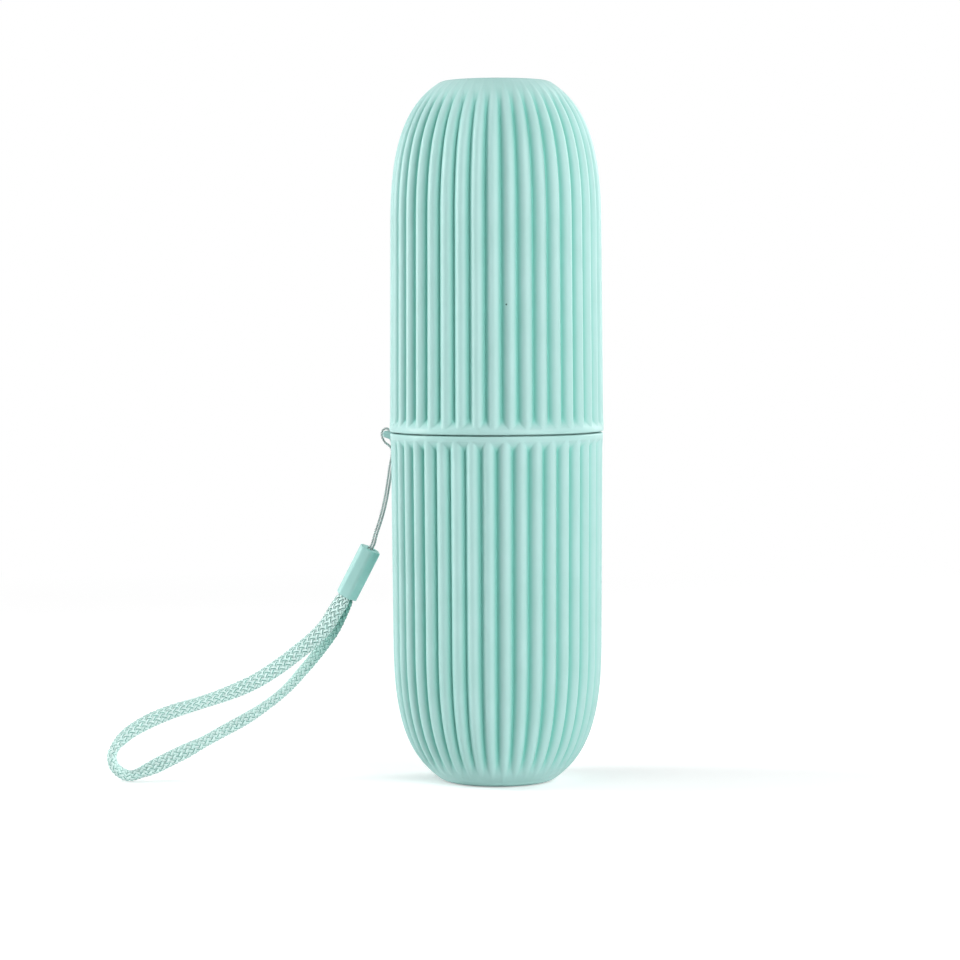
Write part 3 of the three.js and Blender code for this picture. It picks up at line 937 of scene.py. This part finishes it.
@dataclass
class CupShell:
    """A ribbed half of the cup: a smooth rim band, ribs that run out into it, a dome and a flat end."""

    length: float
    rim: float
    wall: float
    name: str
    body: str
    seam: float = 98.0 * MM
    gap: float = 0.4 * MM
    rim_edge: float = 0.45 * MM
    rim_to_body: float = 0.15 * MM
    draft: float = 0.35 * MM
    band: float = 1.45 * MM
    run_out: float = 3.1 * MM
    run_out_steps: int = 16
    whole_ribs: float = 1.3
    dome_height: float = 40.0 * MM
    dome_samples: int = 200
    dome_steps: int = 36
    end_radius: float = 15.6 * MM
    end_drop: float = 0.4 * MM
    end_edge: float = 1.1 * MM
    end_steps: int = 8
    end_inner: float = 0.5
    side_pull: float = 19.5 * MM
    end_pull: float = 12.8 * MM
    end_slope: float = math.radians(31.8)
    fade_start: float = 15.0 * MM
    fade_end: float = 2.0 * MM
    end_share: float = 0.12
    groove_end: float = 0.6
    floor_inner: float = 0.8
    mouth: float = 27.3 * MM
    mouth_depth: float = 14.0 * MM
    mouth_edge: float = 0.3 * MM
    ribs: Ribs = SHELL_RIBS

    def dome(self, count: int) -> List[Vector]:
        """Points on the dome between the side and the flat end, evenly spaced.

        Args:
            count: how many points.

        Returns:
            Points with the radius as x and the height above the rim as y.
        """
        shoulder = self.rim - self.rim_to_body - self.draft
        start = Vector((shoulder, self.length - self.dome_height))
        end = Vector((self.end_radius, self.length - self.end_drop))
        leave = start + Vector((0, self.side_pull))
        arrive = end + self.end_pull * Vector((math.cos(self.end_slope), -math.sin(self.end_slope)))
        drawn = []
        for i in range(self.dome_samples + 1):
            t = i / self.dome_samples
            u = 1 - t
            drawn.append(start * u ** 3 + leave * (3 * t * u * u) + arrive * (3 * t * t * u) + end * t ** 3)
        return spaced(drawn, count)

    def deepest(self, radius: float) -> float:
        """The full depth of a groove on a body of the given radius."""
        return self.ribs.depth * radius / self.ribs.radius

    def outside(self) -> List[Vector]:
        """Rows of the outside from the rim to the middle of the flat end.

        Returns:
            Rows of radius, deepest groove and height above the rim.
        """
        rim, body = self.rim, self.rim - self.rim_to_body
        edge = softened([(self.mouth, 0.0), (rim, 0.0), (rim, self.band)], self.rim_edge, steps=5)[1:]
        rows = [Vector((radius, 0.0, height)) for radius, height in edge]
        for i in range(1, self.run_out_steps + 1):
            share = i / self.run_out_steps
            height = self.band + share * self.run_out
            rows.append(Vector((mix(rim, body, share), share * self.deepest(body), height)))
        rows.append(Vector((body, self.deepest(body), self.band + self.whole_ribs * self.run_out)))
        return [*rows, *self.end_rows()]

    def end_rows(self) -> List[Vector]:
        """Rows of the dome, the round edge and the flat end.

        Returns:
            Rows of radius, deepest groove and height above the rim.
        """
        dome = self.dome(self.dome_steps)
        span = line_length(dome)
        slope = Vector((math.cos(self.end_slope), -math.sin(self.end_slope)))
        corner = dome[-1] - slope * (self.end_drop / math.sin(self.end_slope))
        rows = []
        for i, point in enumerate(dome):
            left = span * (1 - i / (self.dome_steps - 1))
            fade = mix(self.end_share, 1.0, smooth_share(left, self.fade_end, self.fade_start))
            if (point - corner).length > self.end_edge:
                rows.append(Vector((point.x, fade * self.deepest(point.x), point.y)))
        start, stop = corner + slope * self.end_edge, corner - Vector((self.end_edge, 0))
        groove = rows[-1].y
        for i in range(self.end_steps + 1):
            share = i / self.end_steps
            spot = bend(start, corner, stop, share)
            fade = 1 - smooth_share(share, 0.0, self.groove_end)
            rows.append(Vector((spot.x, groove * fade, spot.y)))
        flat = (self.end_inner * stop.x, 0.0)
        return [*rows, *(Vector((radius, 0.0, self.length)) for radius in flat)]

    def mouth_outline(self) -> List[Point2]:
        """Corners of the inside from the rim's face to where the plain wall starts."""
        raise NotImplementedError

    def inside(self) -> List[Vector]:
        """Rows of the inside from the rim's face to the middle of the floor.

        Returns:
            Rows of radius, no groove, and height above the rim.
        """
        dome = self.dome(self.dome_steps // 2)
        shifted = [p + Vector((-d.y, d.x)) * self.wall for p, d in zip(dome, directions(dome))]
        start = (0.5 * (self.mouth + self.rim), 0.0)
        outline = softened([start, *self.mouth_outline(), tuple(shifted[0])], self.mouth_edge, steps=3)
        outline += [tuple(point) for point in shifted[1:]]
        outline += [(self.floor_inner * shifted[-1].x, shifted[-1].y), (0.0, shifted[-1].y)]
        return [Vector((radius, 0.0, height)) for radius, height in outline]

    def rows(self) -> List[Vector]:
        """All rows, from the middle of the inside to the middle of the outside, faces outwards."""
        return [*reversed(self.inside()), *self.outside()]

    def dress(self, turning: ReededTurning) -> bpy.types.Object:
        """Turns the shell and puts it in the place of its CAD node.

        Args:
            turning: the tree that makes ribbed bodies.

        Returns:
            The shell.
        """
        shell = turn_piece(turning, self.name, self.rows(), MINT_SHELL, self.ribs)
        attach(shell, self.body)
        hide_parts(self.name)
        return shell


def turn_piece(
    turning: ReededTurning,
    name: str,
    rows: Sequence[Vector],
    finish: Finish,
    ribs: Ribs = PLAIN,
) -> bpy.types.Object:
    """Turns one piece from its profile.

    Args:
        turning: the tree that makes turned bodies.
        name: the piece's name.
        rows: the profile, as radius, deepest groove and height.
        finish: the piece's finish.
        ribs: the ribs round it.

    Returns:
        The piece.
    """
    guide = guide_points(f"{name}_profile", rows)
    piece = turning.make(f"visual_{name}", {
        "Guide": guide,
        "Profile Rows": len(rows),
        "Ribs": ribs.count,
        "Steps per Rib": ribs.steps,
        "Rib Depth": ribs.depth,
        "Rib Curve": ribs.curve,
        "Rib Radius": ribs.radius,
        "Valley Softness": ribs.softness,
        "Turn": ribs.turn,
        "Weld": WELD,
        "Finish": finish.material(),
    })
    bpy.data.objects.remove(guide)
    return piece


@dataclass
class Lid(CupShell):
    """The upper half, which is also the rinse cup, with a recess for the collar's bead inside its mouth."""

    length: float = 97.6 * MM
    rim: float = 30.0 * MM
    wall: float = 2.6 * MM
    name: str = "lid_shell"
    body: str = "lid"
    ribs: Ribs = replace(SHELL_RIBS, turn=math.radians(3.0))
    snap: float = 7.6 * MM
    snap_half: float = 0.9 * MM
    snap_recess: float = 0.25 * MM

    def mouth_outline(self) -> List[Point2]:
        """Corners of the mouth, with the recess.

        Returns:
            Corners as radius and height above the rim.
        """
        low, high = self.snap - self.snap_half, self.snap + self.snap_half
        deep = self.mouth + self.snap_recess
        return [
            (self.mouth, 0.0),
            (self.mouth, low - self.snap_recess),
            (deep, low),
            (deep, high),
            (self.mouth, high + self.snap_recess),
            (self.mouth, self.mouth_depth),
        ]

    def rows(self) -> List[Vector]:
        """All rows, raised to the seam."""
        return [Vector((r, g, self.seam + self.gap + h)) for r, g, h in super().rows()]


@dataclass
class Base(CupShell):
    """The lower half, with a ledge inside its mouth that the collar stands on."""

    length: float = 98.0 * MM
    rim: float = 29.8 * MM
    wall: float = 3.1 * MM
    name: str = "base_shell"
    body: str = "base"
    end_edge: float = 2.0 * MM
    end_share: float = 0.03
    fade_end: float = 3.0 * MM

    def mouth_outline(self) -> List[Point2]:
        """Corners of the mouth, with the ledge.

        Returns:
            Corners as radius and height above the rim.
        """
        ledge = self.rim - self.rim_to_body - self.wall
        return [(self.mouth, 0.0), (self.mouth, self.mouth_depth), (ledge, self.mouth_depth)]

    def rows(self) -> List[Vector]:
        """All rows, turned over below the seam."""
        return [Vector((r, g, self.seam - h)) for r, g, h in reversed(super().rows())]


@dataclass
class Collar:
    """The collar that stands in the base and guides the lid, with the bead that the lid springs over."""

    outer: float = 27.0 * MM
    wall: float = 1.4 * MM
    foot: float = 84.3 * MM
    top: float = 110.5 * MM
    lead_in: float = 0.5 * MM
    bead: float = 106.0 * MM
    bead_half: float = 0.9 * MM
    bead_bulge: float = 0.15 * MM
    edge: float = 0.25 * MM

    def dress(self, turning: ReededTurning) -> bpy.types.Object:
        """Turns the collar and puts it in the place of its CAD node.

        Args:
            turning: the tree that makes turned bodies.

        Returns:
            The collar.
        """
        inner, proud = self.outer - self.wall, self.outer + self.bead_bulge
        middle = (inner, 0.5 * (self.foot + self.top))
        outline = [
            middle,
            (inner, self.foot),
            (self.outer, self.foot),
            (self.outer, self.bead - self.bead_half),
            (proud, self.bead - 0.5 * self.bead_half),
            (proud, self.bead + 0.5 * self.bead_half),
            (self.outer, self.bead + self.bead_half),
            (self.outer, self.top - self.lead_in),
            (self.outer - self.lead_in, self.top),
            (inner, self.top),
            middle,
        ]
        rows = [Vector((radius, 0.0, height)) for radius, height in softened(outline, self.edge, steps=3)]
        collar = turn_piece(turning, "neck_ring", rows, MINT_COLLAR)
        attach(collar, "base")
        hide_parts("neck_ring")
        return collar


@dataclass
class Eyelet:
    """The eyelet on the base's rim: two ears that leave the wall, and a round bar between them."""

    reach: float = 32.1 * MM
    height: float = 97.4 * MM
    rim: float = 98.0 * MM
    root: float = 28.2 * MM
    neck: float = 30.3 * MM
    foot: float = 2.8 * MM
    shy: float = 0.1 * MM
    bar: float = 1.2 * MM
    tall: float = 1.9 * MM
    slot: float = 0.65 * MM
    ear: float = 1.1 * MM
    edge: float = 0.28 * MM
    edge_steps: int = 4
    corner: float = 0.5 * MM
    shoulder: float = math.radians(60)
    round_steps: int = 24
    bar_sides: int = 40

    def ear_outline(self) -> List[Point2]:
        """The ear from the side: from the wall, under the lid's rim and round the end of the bar.

        Returns:
            Its points, round the middle, as x and height.
        """
        end = []
        for i in range(self.round_steps + 1):
            turn = self.shoulder + (1.5 * math.pi - self.shoulder) * i / self.round_steps
            out = -self.reach + 0.5 * self.bar * math.cos(turn)
            end.append((out, self.height + 0.5 * self.tall * math.sin(turn)))
        wall = softened([
            (-self.root, self.rim - self.foot),
            (-self.root, self.rim - self.shy),
            (-self.neck, self.rim - self.shy),
            end[0],
        ], self.corner)
        return [*wall, *end[1:]]

    def ear_rings(self, side: int) -> List[List[Vector]]:
        """Rings of an ear through its thickness, with round edges.

        Args:
            side: 1 for the ear behind, -1 for the one in front.

        Returns:
            The rings.
        """
        rounds = []
        for i in range(self.edge_steps + 1):
            turn = 0.5 * math.pi * i / self.edge_steps
            rounds.append((self.edge * (1 - math.cos(turn)), self.edge * (1 - math.sin(turn))))
        layers = [(self.slot + deep, inset) for deep, inset in rounds]
        layers += [(self.slot + self.ear - deep, inset) for deep, inset in reversed(rounds)]
        outline = self.ear_outline()
        return [[Vector((x, side * y, z)) for x, z in drawn_in(outline, inset)] for y, inset in layers]

    def bar_rings(self) -> List[List[Vector]]:
        """Rings of the bar, which ends inside the ears.

        Returns:
            The rings.
        """
        end = self.slot + 0.5 * self.ear
        half, turns = 0.5 * self.bar, full_turn(self.bar_sides)
        section = [half * Vector((math.cos(turn), 0.0, math.sin(turn))) for turn in turns]
        return [[Vector((-self.reach, y, self.height)) + spot for spot in section] for y in (-end, end)]

    def dress(self) -> bpy.types.Object:
        """Builds the two ears and the bar.

        Returns:
            The eyelet.
        """
        bodies = [self.ear_rings(1), self.ear_rings(-1), self.bar_rings()]
        eyelet = lofted("visual_eyelet", bodies, looped=False)
        give(eyelet, MINT_SHELL)
        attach(eyelet, "base")
        return eyelet


@dataclass
class CordMake:
    """How a cord is laid up: its plies, their section and their lay."""

    width: float
    thickness: float
    plies: int
    ways: int
    lead: float
    weave: float
    ply_width: float
    ply_thickness: float
    ply_sides: int
    step: float

    def half(self, across: float) -> float:
        """How far a ply's middle lies from the cord's, where the cord is so far across."""
        return 0.5 * (across - self.ply_thickness) - self.weave

    def lay(
        self,
        tree: WoundCord,
        name: str,
        path: Sequence[Vector],
        wide: Sequence[Vector],
        thin: Sequence[Vector],
        opened: Sequence[Point2],
        finish: Finish,
    ) -> bpy.types.Object:
        """Winds the plies round a path.

        Args:
            tree: the tree that lays plies.
            name: the piece's name.
            path: evenly spaced points of the cord's middle.
            wide: the direction across the cord's width at each point.
            thin: the direction through its thickness at each point.
            opened: the cord's width and thickness at each point.
            finish: the yarn.

        Returns:
            The cord.
        """
        sizes = {
            "half_wide": [self.half(width) for width, _ in opened],
            "half_thin": [self.half(thickness) for _, thickness in opened],
        }
        guide = guide_points(f"{name}_path", path, {"wide": wide, "thin": thin}, sizes)
        cord = tree.make(f"visual_{name}", {
            "Guide": guide,
            "Samples": len(path),
            "Plies": self.plies,
            "Ways": self.ways,
            "Turns": line_length(path) / self.lead,
            "Weave Height": self.weave,
            "Ply Width": self.ply_width,
            "Ply Thickness": self.ply_thickness,
            "Ply Sides": self.ply_sides,
            "Finish": finish.material(),
        })
        bpy.data.objects.remove(guide)
        return cord


def carried_frames(path: Sequence[Vector]) -> Tuple[List[Vector], List[Vector]]:
    """Two directions across a path at each point, carried along it without twist.

    Args:
        path: the path's points.

    Returns:
        The first and the second directions.
    """
    ahead = directions(path)
    side = ahead[0].orthogonal().normalized()
    sides, ups = [], []
    for direction in ahead:
        side = (side - direction * side.dot(direction)).normalized()
        sides.append(side.copy())
        ups.append(direction.cross(side))
    return sides, ups


@dataclass
class Lanyard:
    """The wrist lanyard: a thin string over the eyelet's bar, a hexagonal sleeve and a braided loop."""

    bar: Vector = field(default_factory=lambda: Vector((-32.1, 0, 97.4)) * MM)
    string: CordMake = field(default_factory=lambda: CordMake(
        width=0.7 * MM, thickness=0.7 * MM, plies=3, ways=1, lead=2.4 * MM, weave=0.0,
        ply_width=0.36 * MM, ply_thickness=0.34 * MM, ply_sides=7, step=0.14 * MM,
    ))
    braid: CordMake = field(default_factory=lambda: CordMake(
        width=4.9 * MM, thickness=2.9 * MM, plies=8, ways=2, lead=16.0 * MM, weave=0.26 * MM,
        ply_width=1.05 * MM, ply_thickness=0.56 * MM, ply_sides=8, step=0.32 * MM,
    ))
    pair_across: float = 0.301 * MM
    pair_depth: float = 0.343 * MM
    loop_in: float = 1.25 * MM
    loop_out: float = 1.4 * MM
    loop_up: float = 1.6 * MM
    sleeve_length: float = 15.4 * MM
    sleeve_flats: float = 5.81 * MM
    sleeve_corner: float = 0.75 * MM
    sleeve_edge: float = 0.45 * MM
    sleeve_cap: float = 1.5 * MM
    sleeve_bore: float = 2.4 * MM
    sleeve_hole: float = 1.1 * MM
    sleeve_blend: float = 0.4
    sleeve_tilt: float = math.radians(28.0)
    sleeve_roll: float = math.radians(-3.5)
    sleeve_out: float = 8.44 * MM
    sleeve_at: float = 0.5954
    knot_top: float = 5.9 * MM
    knot_length: float = 2.6 * MM
    knot_radius: float = 1.05 * MM
    knot_turns: float = 3.0
    knot_samples: int = 240
    braid_end: float = 3.0 * MM
    braid_twist: float = math.radians(75)
    # The share of the way along the braid, and how far it is turned about its own line, in degrees.
    turns: Tuple[Point2, ...] = (
        (0.0, -75.0),
        (0.1, -75.0),
        (0.2, -70.0),
        (0.25, -60.0),
        (0.32, -38.0),
        (0.4, -56.0),
        (0.44, -46.0),
        (0.475, -14.0),
        (0.52, 12.0),
        (0.565, 60.0),
        (0.6, 58.0),
        (0.64, 30.0),
        (0.7, 34.0),
        (0.76, 14.0),
        (0.82, 30.0),
        (0.9, 64.0),
        (1.0, 75.0),
    )
    nip_width: float = 4.0 * MM
    nip_thickness: float = 1.8 * MM
    nip_offset: float = 1.0 * MM
    nip_length: float = 8.0 * MM
    spread_length: float = 2.0 * MM
    floor_turn: Vector = field(default_factory=lambda: Vector((-100.7, -26.1, 1.75)) * MM)
    # Millimetres out from the bar, the share of the bar's height, and millimetres back.
    pair: Route3 = (
        (3.37, 0.708, 0.2),
        (2.06, 0.751, 0.8),
        (0.96, 0.801, 1.6),
        (0.23, 0.853, 2.5),
        (-0.37, 0.905, 3.2),
        (-0.9, 0.937, 3.6),
    )
    inner_leg: Route3 = ((-1.4, 0.9588, 3.2), (-1.3, 0.977, 0.6))
    # Degrees round the bar.
    over_bar: Tuple[float, ...] = (-30, 15, 60, 105, 150, 195)
    outer_leg: Route3 = ((0.65, 0.9765, 0.5), (-0.2, 0.967, 1.5), (-0.75, 0.9557, 2.6))
    # Millimetres out, the share of the bar's height, thicknesses of braid apart, and millimetres forward.
    upper: Route4 = (
        (15.2, 0.479, -0.5, 0.0),
        (17.6, 0.438, -0.57, 0.5),
        (21.0, 0.399, -0.57, 2.2),
        (25.5, 0.359, -0.55, 4.4),
        (30.2, 0.321, -0.45, 6.8),
        (36.3, 0.28, -0.3, 9.8),
        (43.3, 0.248, -0.15, 13.3),
        (50.6, 0.222, 0.0, 16.9),
        (57.8, 0.199, 0.0, 20.5),
        (63.8, 0.172, 0.0, 23.7),
        (68.9, 0.138, 0.0, 26.3),
        (72.0, 0.101, 0.0, 27.8),
        (72.8, 0.072, 0.0, 28.3),
        (71.9, 0.041, 0.0, 27.8),
    )
    lower: Route4 = (
        (64.0, 0.033, 0.0, 23.7),
        (57.6, 0.066, 0.0, 20.4),
        (51.0, 0.101, 0.0, 17.0),
        (44.5, 0.139, 0.15, 13.7),
        (38.2, 0.177, 0.3, 10.4),
        (32.1, 0.223, 0.45, 7.3),
        (28.1, 0.262, 0.55, 5.2),
        (25.0, 0.301, 0.57, 3.6),
        (21.8, 0.342, 0.57, 2.1),
        (19.2, 0.383, 0.57, 0.8),
        (16.7, 0.425, 0.57, 0.0),
        (14.4, 0.47, 0.5, 0.0),
    )

    def on_route(self, out: float, share: float, depth: float) -> Vector:
        """A place on the lanyard.

        Args:
            out: how far it lies outside the eyelet's bar.
            share: its height, as a part of the bar's.
            depth: how far it lies behind the eyelet's middle.

        Returns:
            The place.
        """
        return Vector((self.bar.x - out, depth, self.bar.z * share))

    def on_braid(self, out: float, share: float, apart: float, forward: float) -> Vector:
        """A place on the wrist loop: out and forward in millimetres, apart in thicknesses of the braid."""
        return self.on_route(out * MM, share, apart * self.braid.thickness - forward * MM)

    def in_sleeve(self, across: float, depth: float, along: float) -> Vector:
        """A place in the sleeve.

        Args:
            across: towards the cup.
            depth: to the back.
            along: up the sleeve from its middle.

        Returns:
            The place.
        """
        middle = self.on_route(self.sleeve_out, self.sleeve_at, 0.0)
        return middle + Matrix.Rotation(self.sleeve_tilt, 3, "Y") @ Vector((across, depth, along))

    def strand(self, side: int) -> List[Vector]:
        """One strand of the string's pair, from the sleeve to the eyelet.

        Args:
            side: 1 for the strand behind, -1 for the one in front.

        Returns:
            The strand's points.
        """
        across, depth = side * self.pair_across, side * self.pair_depth
        half = 0.5 * self.sleeve_length
        heights = (half - self.sleeve_cap, half, half + self.sleeve_cap)
        points = [self.in_sleeve(across, depth, height) for height in heights]
        for out, share, back in self.pair:
            points.append(self.on_route(out * MM - across, share, back * MM + depth))
        return points

    def loop(self) -> List[Vector]:
        """The string's loop over the bar, between its two legs.

        Returns:
            The loop's points.
        """
        points = [self.on_route(out * MM, share, back * MM) for out, share, back in self.inner_leg]
        for degrees in self.over_bar:
            turn = math.radians(degrees)
            inward = math.cos(turn)
            reach = self.loop_in if inward > 0 else self.loop_out
            points.append(self.bar + Vector((reach * inward, 0.0, self.loop_up * math.sin(turn))))
        return points + [self.on_route(out * MM, share, back * MM) for out, share, back in self.outer_leg]

    def dress_string(self, tree: WoundCord, knot: bpy.types.Object) -> bpy.types.Object:
        """Winds the string, looped over the eyelet's bar, with both its ends in the sleeve.

        Args:
            tree: the tree that lays plies.
            knot: the stopper knot on it; not used.

        Returns:
            The string.
        """
        route = smooth_line([*self.strand(1), *self.loop(), *reversed(self.strand(-1))])
        path = spaced(route, round(line_length(route) / self.string.step))
        wide, thin = carried_frames(path)
        sizes = [(self.string.width, self.string.thickness)] * len(path)
        string = self.string.lay(tree, "lanyard_string", path, wide, thin, sizes, SILVER_STRING)
        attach(string, "lanyard")
        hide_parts("lanyard_string")
        return self.declare(string, path)

    def declare(
        self,
        cord: bpy.types.Object,
        path: Sequence[Vector],
    ) -> bpy.types.Object:
        """Logs the length of a cord that starts in the sleeve and ends in it.

        Args:
            cord: the cord.
            path: its middle.

        Returns:
            The cord.
        """
        LOG.info("%s is %.1f mm long", cord.name, line_length(path) / MM)
        return cord

    def dress_braid(self, tree: WoundCord, sleeve: bpy.types.Object) -> bpy.types.Object:
        """Braids the wrist loop, which turns about its own line from end to end and is squeezed narrow in the
        sleeve.

        Args:
            tree: the tree that lays plies.
            sleeve: the sleeve on its ends; not used.

        Returns:
            The loop.
        """
        make, mouth = self.braid, -0.5 * self.sleeve_length
        across = self.nip_offset * math.cos(self.braid_twist)
        depth = self.nip_offset * math.sin(self.braid_twist)
        heights = (self.braid_end, 0.5 * (self.braid_end + mouth), mouth)
        route = smooth_line([
            *(self.in_sleeve(-across, -depth, height) for height in heights),
            *(self.on_braid(*row) for row in self.upper),
            self.floor_turn,
            *(self.on_braid(*row) for row in self.lower),
            *(self.in_sleeve(across, depth, height) for height in reversed(heights)),
        ])
        span = line_length(route)
        path = spaced(route, round(span / make.step))
        held = self.braid_end + 0.5 * self.sleeve_length
        wide, thin, sizes = [], [], []
        for i, ahead in enumerate(directions(path)):
            share = i / (len(path) - 1)
            normal = Vector((0, 1, 0)).cross(ahead).normalized()
            twist = math.radians(passing(self.turns, share))
            thin.append(normal * math.cos(twist) + ahead.cross(normal) * math.sin(twist))
            wide.append(thin[-1].cross(ahead))
            past = min(share, 1 - share) * span - held
            width = mix(self.nip_width, make.width, smooth_share(past, 0.0, self.spread_length))
            thickness = mix(self.nip_thickness, make.thickness, smooth_share(past, 0.0, self.nip_length))
            sizes.append((width, thickness))
        loop = make.lay(tree, "wrist_braid", path, wide, thin, sizes, MINT_BRAID)
        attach(loop, "lanyard")
        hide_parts("wrist_braid")
        return self.declare(loop, path)

    def hexagon(self) -> List[Point2]:
        """The sleeve's outline with round corners.

        Returns:
            Its points, round the middle.
        """
        reach = 0.5 * self.sleeve_flats / math.cos(math.pi / 6)
        turns = [self.sleeve_roll + i * math.pi / 3 for i in range(6)]
        corners = [(reach * math.cos(turn), reach * math.sin(turn)) for turn in turns]
        start = tuple(0.5 * (Vector(corners[-1]) + Vector(corners[0])))
        return softened([start, *corners, start], self.sleeve_corner, steps=5)[:-1]

    def dress_sleeve(self) -> bpy.types.Object:
        """Builds the sleeve: a hexagonal barrel, open to the braid, with a hole for the string in its cap.

        Returns:
            The sleeve.
        """
        half, flat = 0.5 * self.sleeve_length, 0.5 * self.sleeve_flats
        outline = self.hexagon()
        barrel = softened([
            (self.sleeve_bore, -half),
            (flat, -half),
            (flat, half),
            (self.sleeve_hole, half),
            (self.sleeve_hole, half - self.sleeve_cap),
            (self.sleeve_bore, half - self.sleeve_cap),
            (self.sleeve_bore, -half),
        ], self.sleeve_edge)[1:]
        sided = mix(self.sleeve_bore, flat, self.sleeve_blend)
        rings = []
        for reach, height in barrel:
            share, ring = smooth_share(reach, self.sleeve_bore, sided), []
            for x, y in outline:
                hexagonal = Vector((x, y)) * reach / flat
                circular = Vector((x, y)).normalized() * reach
                spot = circular.lerp(hexagonal, share)
                ring.append(self.in_sleeve(spot.x, spot.y, height))
            rings.append(ring)
        sleeve = lofted("visual_lanyard_sleeve", [rings], looped=True)
        give(sleeve, MINT_SLEEVE)
        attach(sleeve, "lanyard")
        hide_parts("lanyard_sleeve")
        return sleeve

    def dress_knot(self, tree: WoundCord) -> bpy.types.Object:
        """Winds the stopper knot in the sleeve: close turns of the string's own cord.

        Args:
            tree: the tree that lays plies.

        Returns:
            The knot.
        """
        make, turned = self.string, []
        low, high = self.knot_top - self.knot_length + make.width, self.knot_top - 0.5 * make.width
        for i in range(self.knot_samples):
            share = i / (self.knot_samples - 1)
            turn = share * self.knot_turns * TAU
            across, depth = self.knot_radius * math.cos(turn), self.knot_radius * math.sin(turn)
            turned.append(self.in_sleeve(across, depth, mix(low, high, share)))
        path = spaced(turned, round(line_length(turned) / make.step))
        wide, thin = carried_frames(path)
        sizes = [(make.width, make.thickness)] * len(path)
        knot = make.lay(tree, "string_knot", path, wide, thin, sizes, SILVER_STRING)
        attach(knot, "lanyard")
        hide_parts("string_knot")
        return knot


@dataclass(frozen=True)
class Lamp:
    """A soft lamp: its angles in degrees as seen from the camera, and how large and strong it is."""

    name: str
    aside: float
    above: float
    width: float
    power: float
    height: float = 0.9
    away: float = 1.2


@dataclass
class Studio:
    """The camera at the photograph's angle, the soft lamps, the white behind and the floor."""

    azimuth: float = math.radians(13.6)
    distance: float = 0.9
    eye_height: float = 0.133
    aim_height: float = 84.65 * MM
    aim_left: float = 4.72 * MM
    roll: float = math.radians(0.26)
    lens: float = 120.4
    clip_end: float = 60.0
    floor_radius: float = 9.0
    floor_sides: int = 64
    ambient: float = 0.02
    lamp_aim: float = 0.1
    lamps: Tuple[Lamp, ...] = (
        Lamp("left_softbox", aside=-94, above=9, width=0.36, power=15.0),
        Lamp("front_softbox", aside=30, above=14, width=0.5, power=8.0),
        Lamp("right_softbox", aside=62, above=18, width=0.9, power=5.2),
        Lamp("back_right_softbox", aside=130, above=22, width=0.6, power=7.0),
        Lamp("upper_left_softbox", aside=-60, above=66, width=0.9, power=5.6),
    )

    def outward(self, azimuth: float, elevation: float) -> Vector:
        """The direction from the object to a place round it."""
        level = math.cos(elevation)
        return Vector((math.sin(azimuth) * level, -math.cos(azimuth) * level, math.sin(elevation)))

    def set_camera(self) -> None:
        """Sets the camera up."""
        camera = new_object("camera", bpy.data.cameras.new("camera"))
        camera.data.lens = self.lens
        camera.data.clip_end = self.clip_end
        rightward = Vector((math.cos(self.azimuth), math.sin(self.azimuth), 0.0))
        aim = Vector((0.0, 0.0, self.aim_height)) - rightward * self.aim_left
        camera.location = self.outward(self.azimuth, 0.0) * self.distance + Vector((0, 0, self.eye_height))
        turned = (aim - camera.location).to_track_quat("-Z", "Y").to_matrix()
        camera.rotation_euler = (turned @ Matrix.Rotation(-self.roll, 3, "Z")).to_euler()
        bpy.context.scene.camera = camera

    def set_lamps(self) -> None:
        """Sets the lamps up, aimed at the middle of the cup."""
        middle = Vector((0, 0, self.lamp_aim))
        for lamp in self.lamps:
            light = bpy.data.lights.new(lamp.name, "AREA")
            light.shape = "RECTANGLE"
            light.size, light.size_y = lamp.width, lamp.height
            light.energy = lamp.power
            stand = new_object(lamp.name, light)
            back = self.outward(self.azimuth + math.radians(lamp.aside), math.radians(lamp.above))
            stand.location = middle + back * lamp.away
            stand.rotation_euler = (-back).to_track_quat("-Z", "Y").to_euler()

    def set_world(self) -> None:
        """Makes the world white where it is seen and an even, dim light for the object."""
        world = bpy.data.worlds.new("studio_white")
        world.use_nodes = True
        bench = NodeBench(world.node_tree)
        background = world.node_tree.nodes["Background"]
        background.inputs["Color"].default_value = (1.0, 1.0, 1.0, 1.0)
        level = bench.math("MULTIPLY_ADD", seen_or_mirrored(bench), 1.0 - self.ambient, self.ambient)
        bench.feed(background.inputs["Strength"], level)
        bpy.context.scene.world = world

    def set_floor(self) -> None:
        """Lays the floor under the foot."""
        turns = full_turn(self.floor_sides)
        ring = [self.floor_radius * Vector((math.cos(turn), math.sin(turn), 0.0)) for turn in turns]
        mesh = bpy.data.meshes.new("studio_floor")
        mesh.from_pydata([tuple(point) for point in ring], [], [tuple(range(len(ring)))])
        floor = new_object("studio_floor", mesh)
        give(floor, FloorPaint())

    def set_up(self) -> None:
        """Sets the whole studio up."""
        self.set_camera()
        self.set_lamps()
        self.set_world()
        self.set_floor()
        bpy.context.scene.view_settings.view_transform = "Standard"


def main() -> None:
    """Builds the studio, the lanyard and the cup."""
    logging.basicConfig(level=logging.INFO, format="%(name)s: %(message)s")
    Studio().set_up()
    winding, turning, lanyard = WoundCord("wound_cord"), ReededTurning("reeded_turning"), Lanyard()
    sleeve, knot = lanyard.dress_sleeve(), lanyard.dress_knot(winding)
    pieces = [
        sleeve,
        knot,
        lanyard.dress_string(winding, knot),
        lanyard.dress_braid(winding, sleeve),
        Lid().dress(turning),
        Base().dress(turning),
        Collar().dress(turning),
        Eyelet().dress(),
    ]
    for piece in pieces:
        LOG.info("%s: %d faces", piece.name, len(piece.data.polygons))


if __name__ == "__main__":
    main()
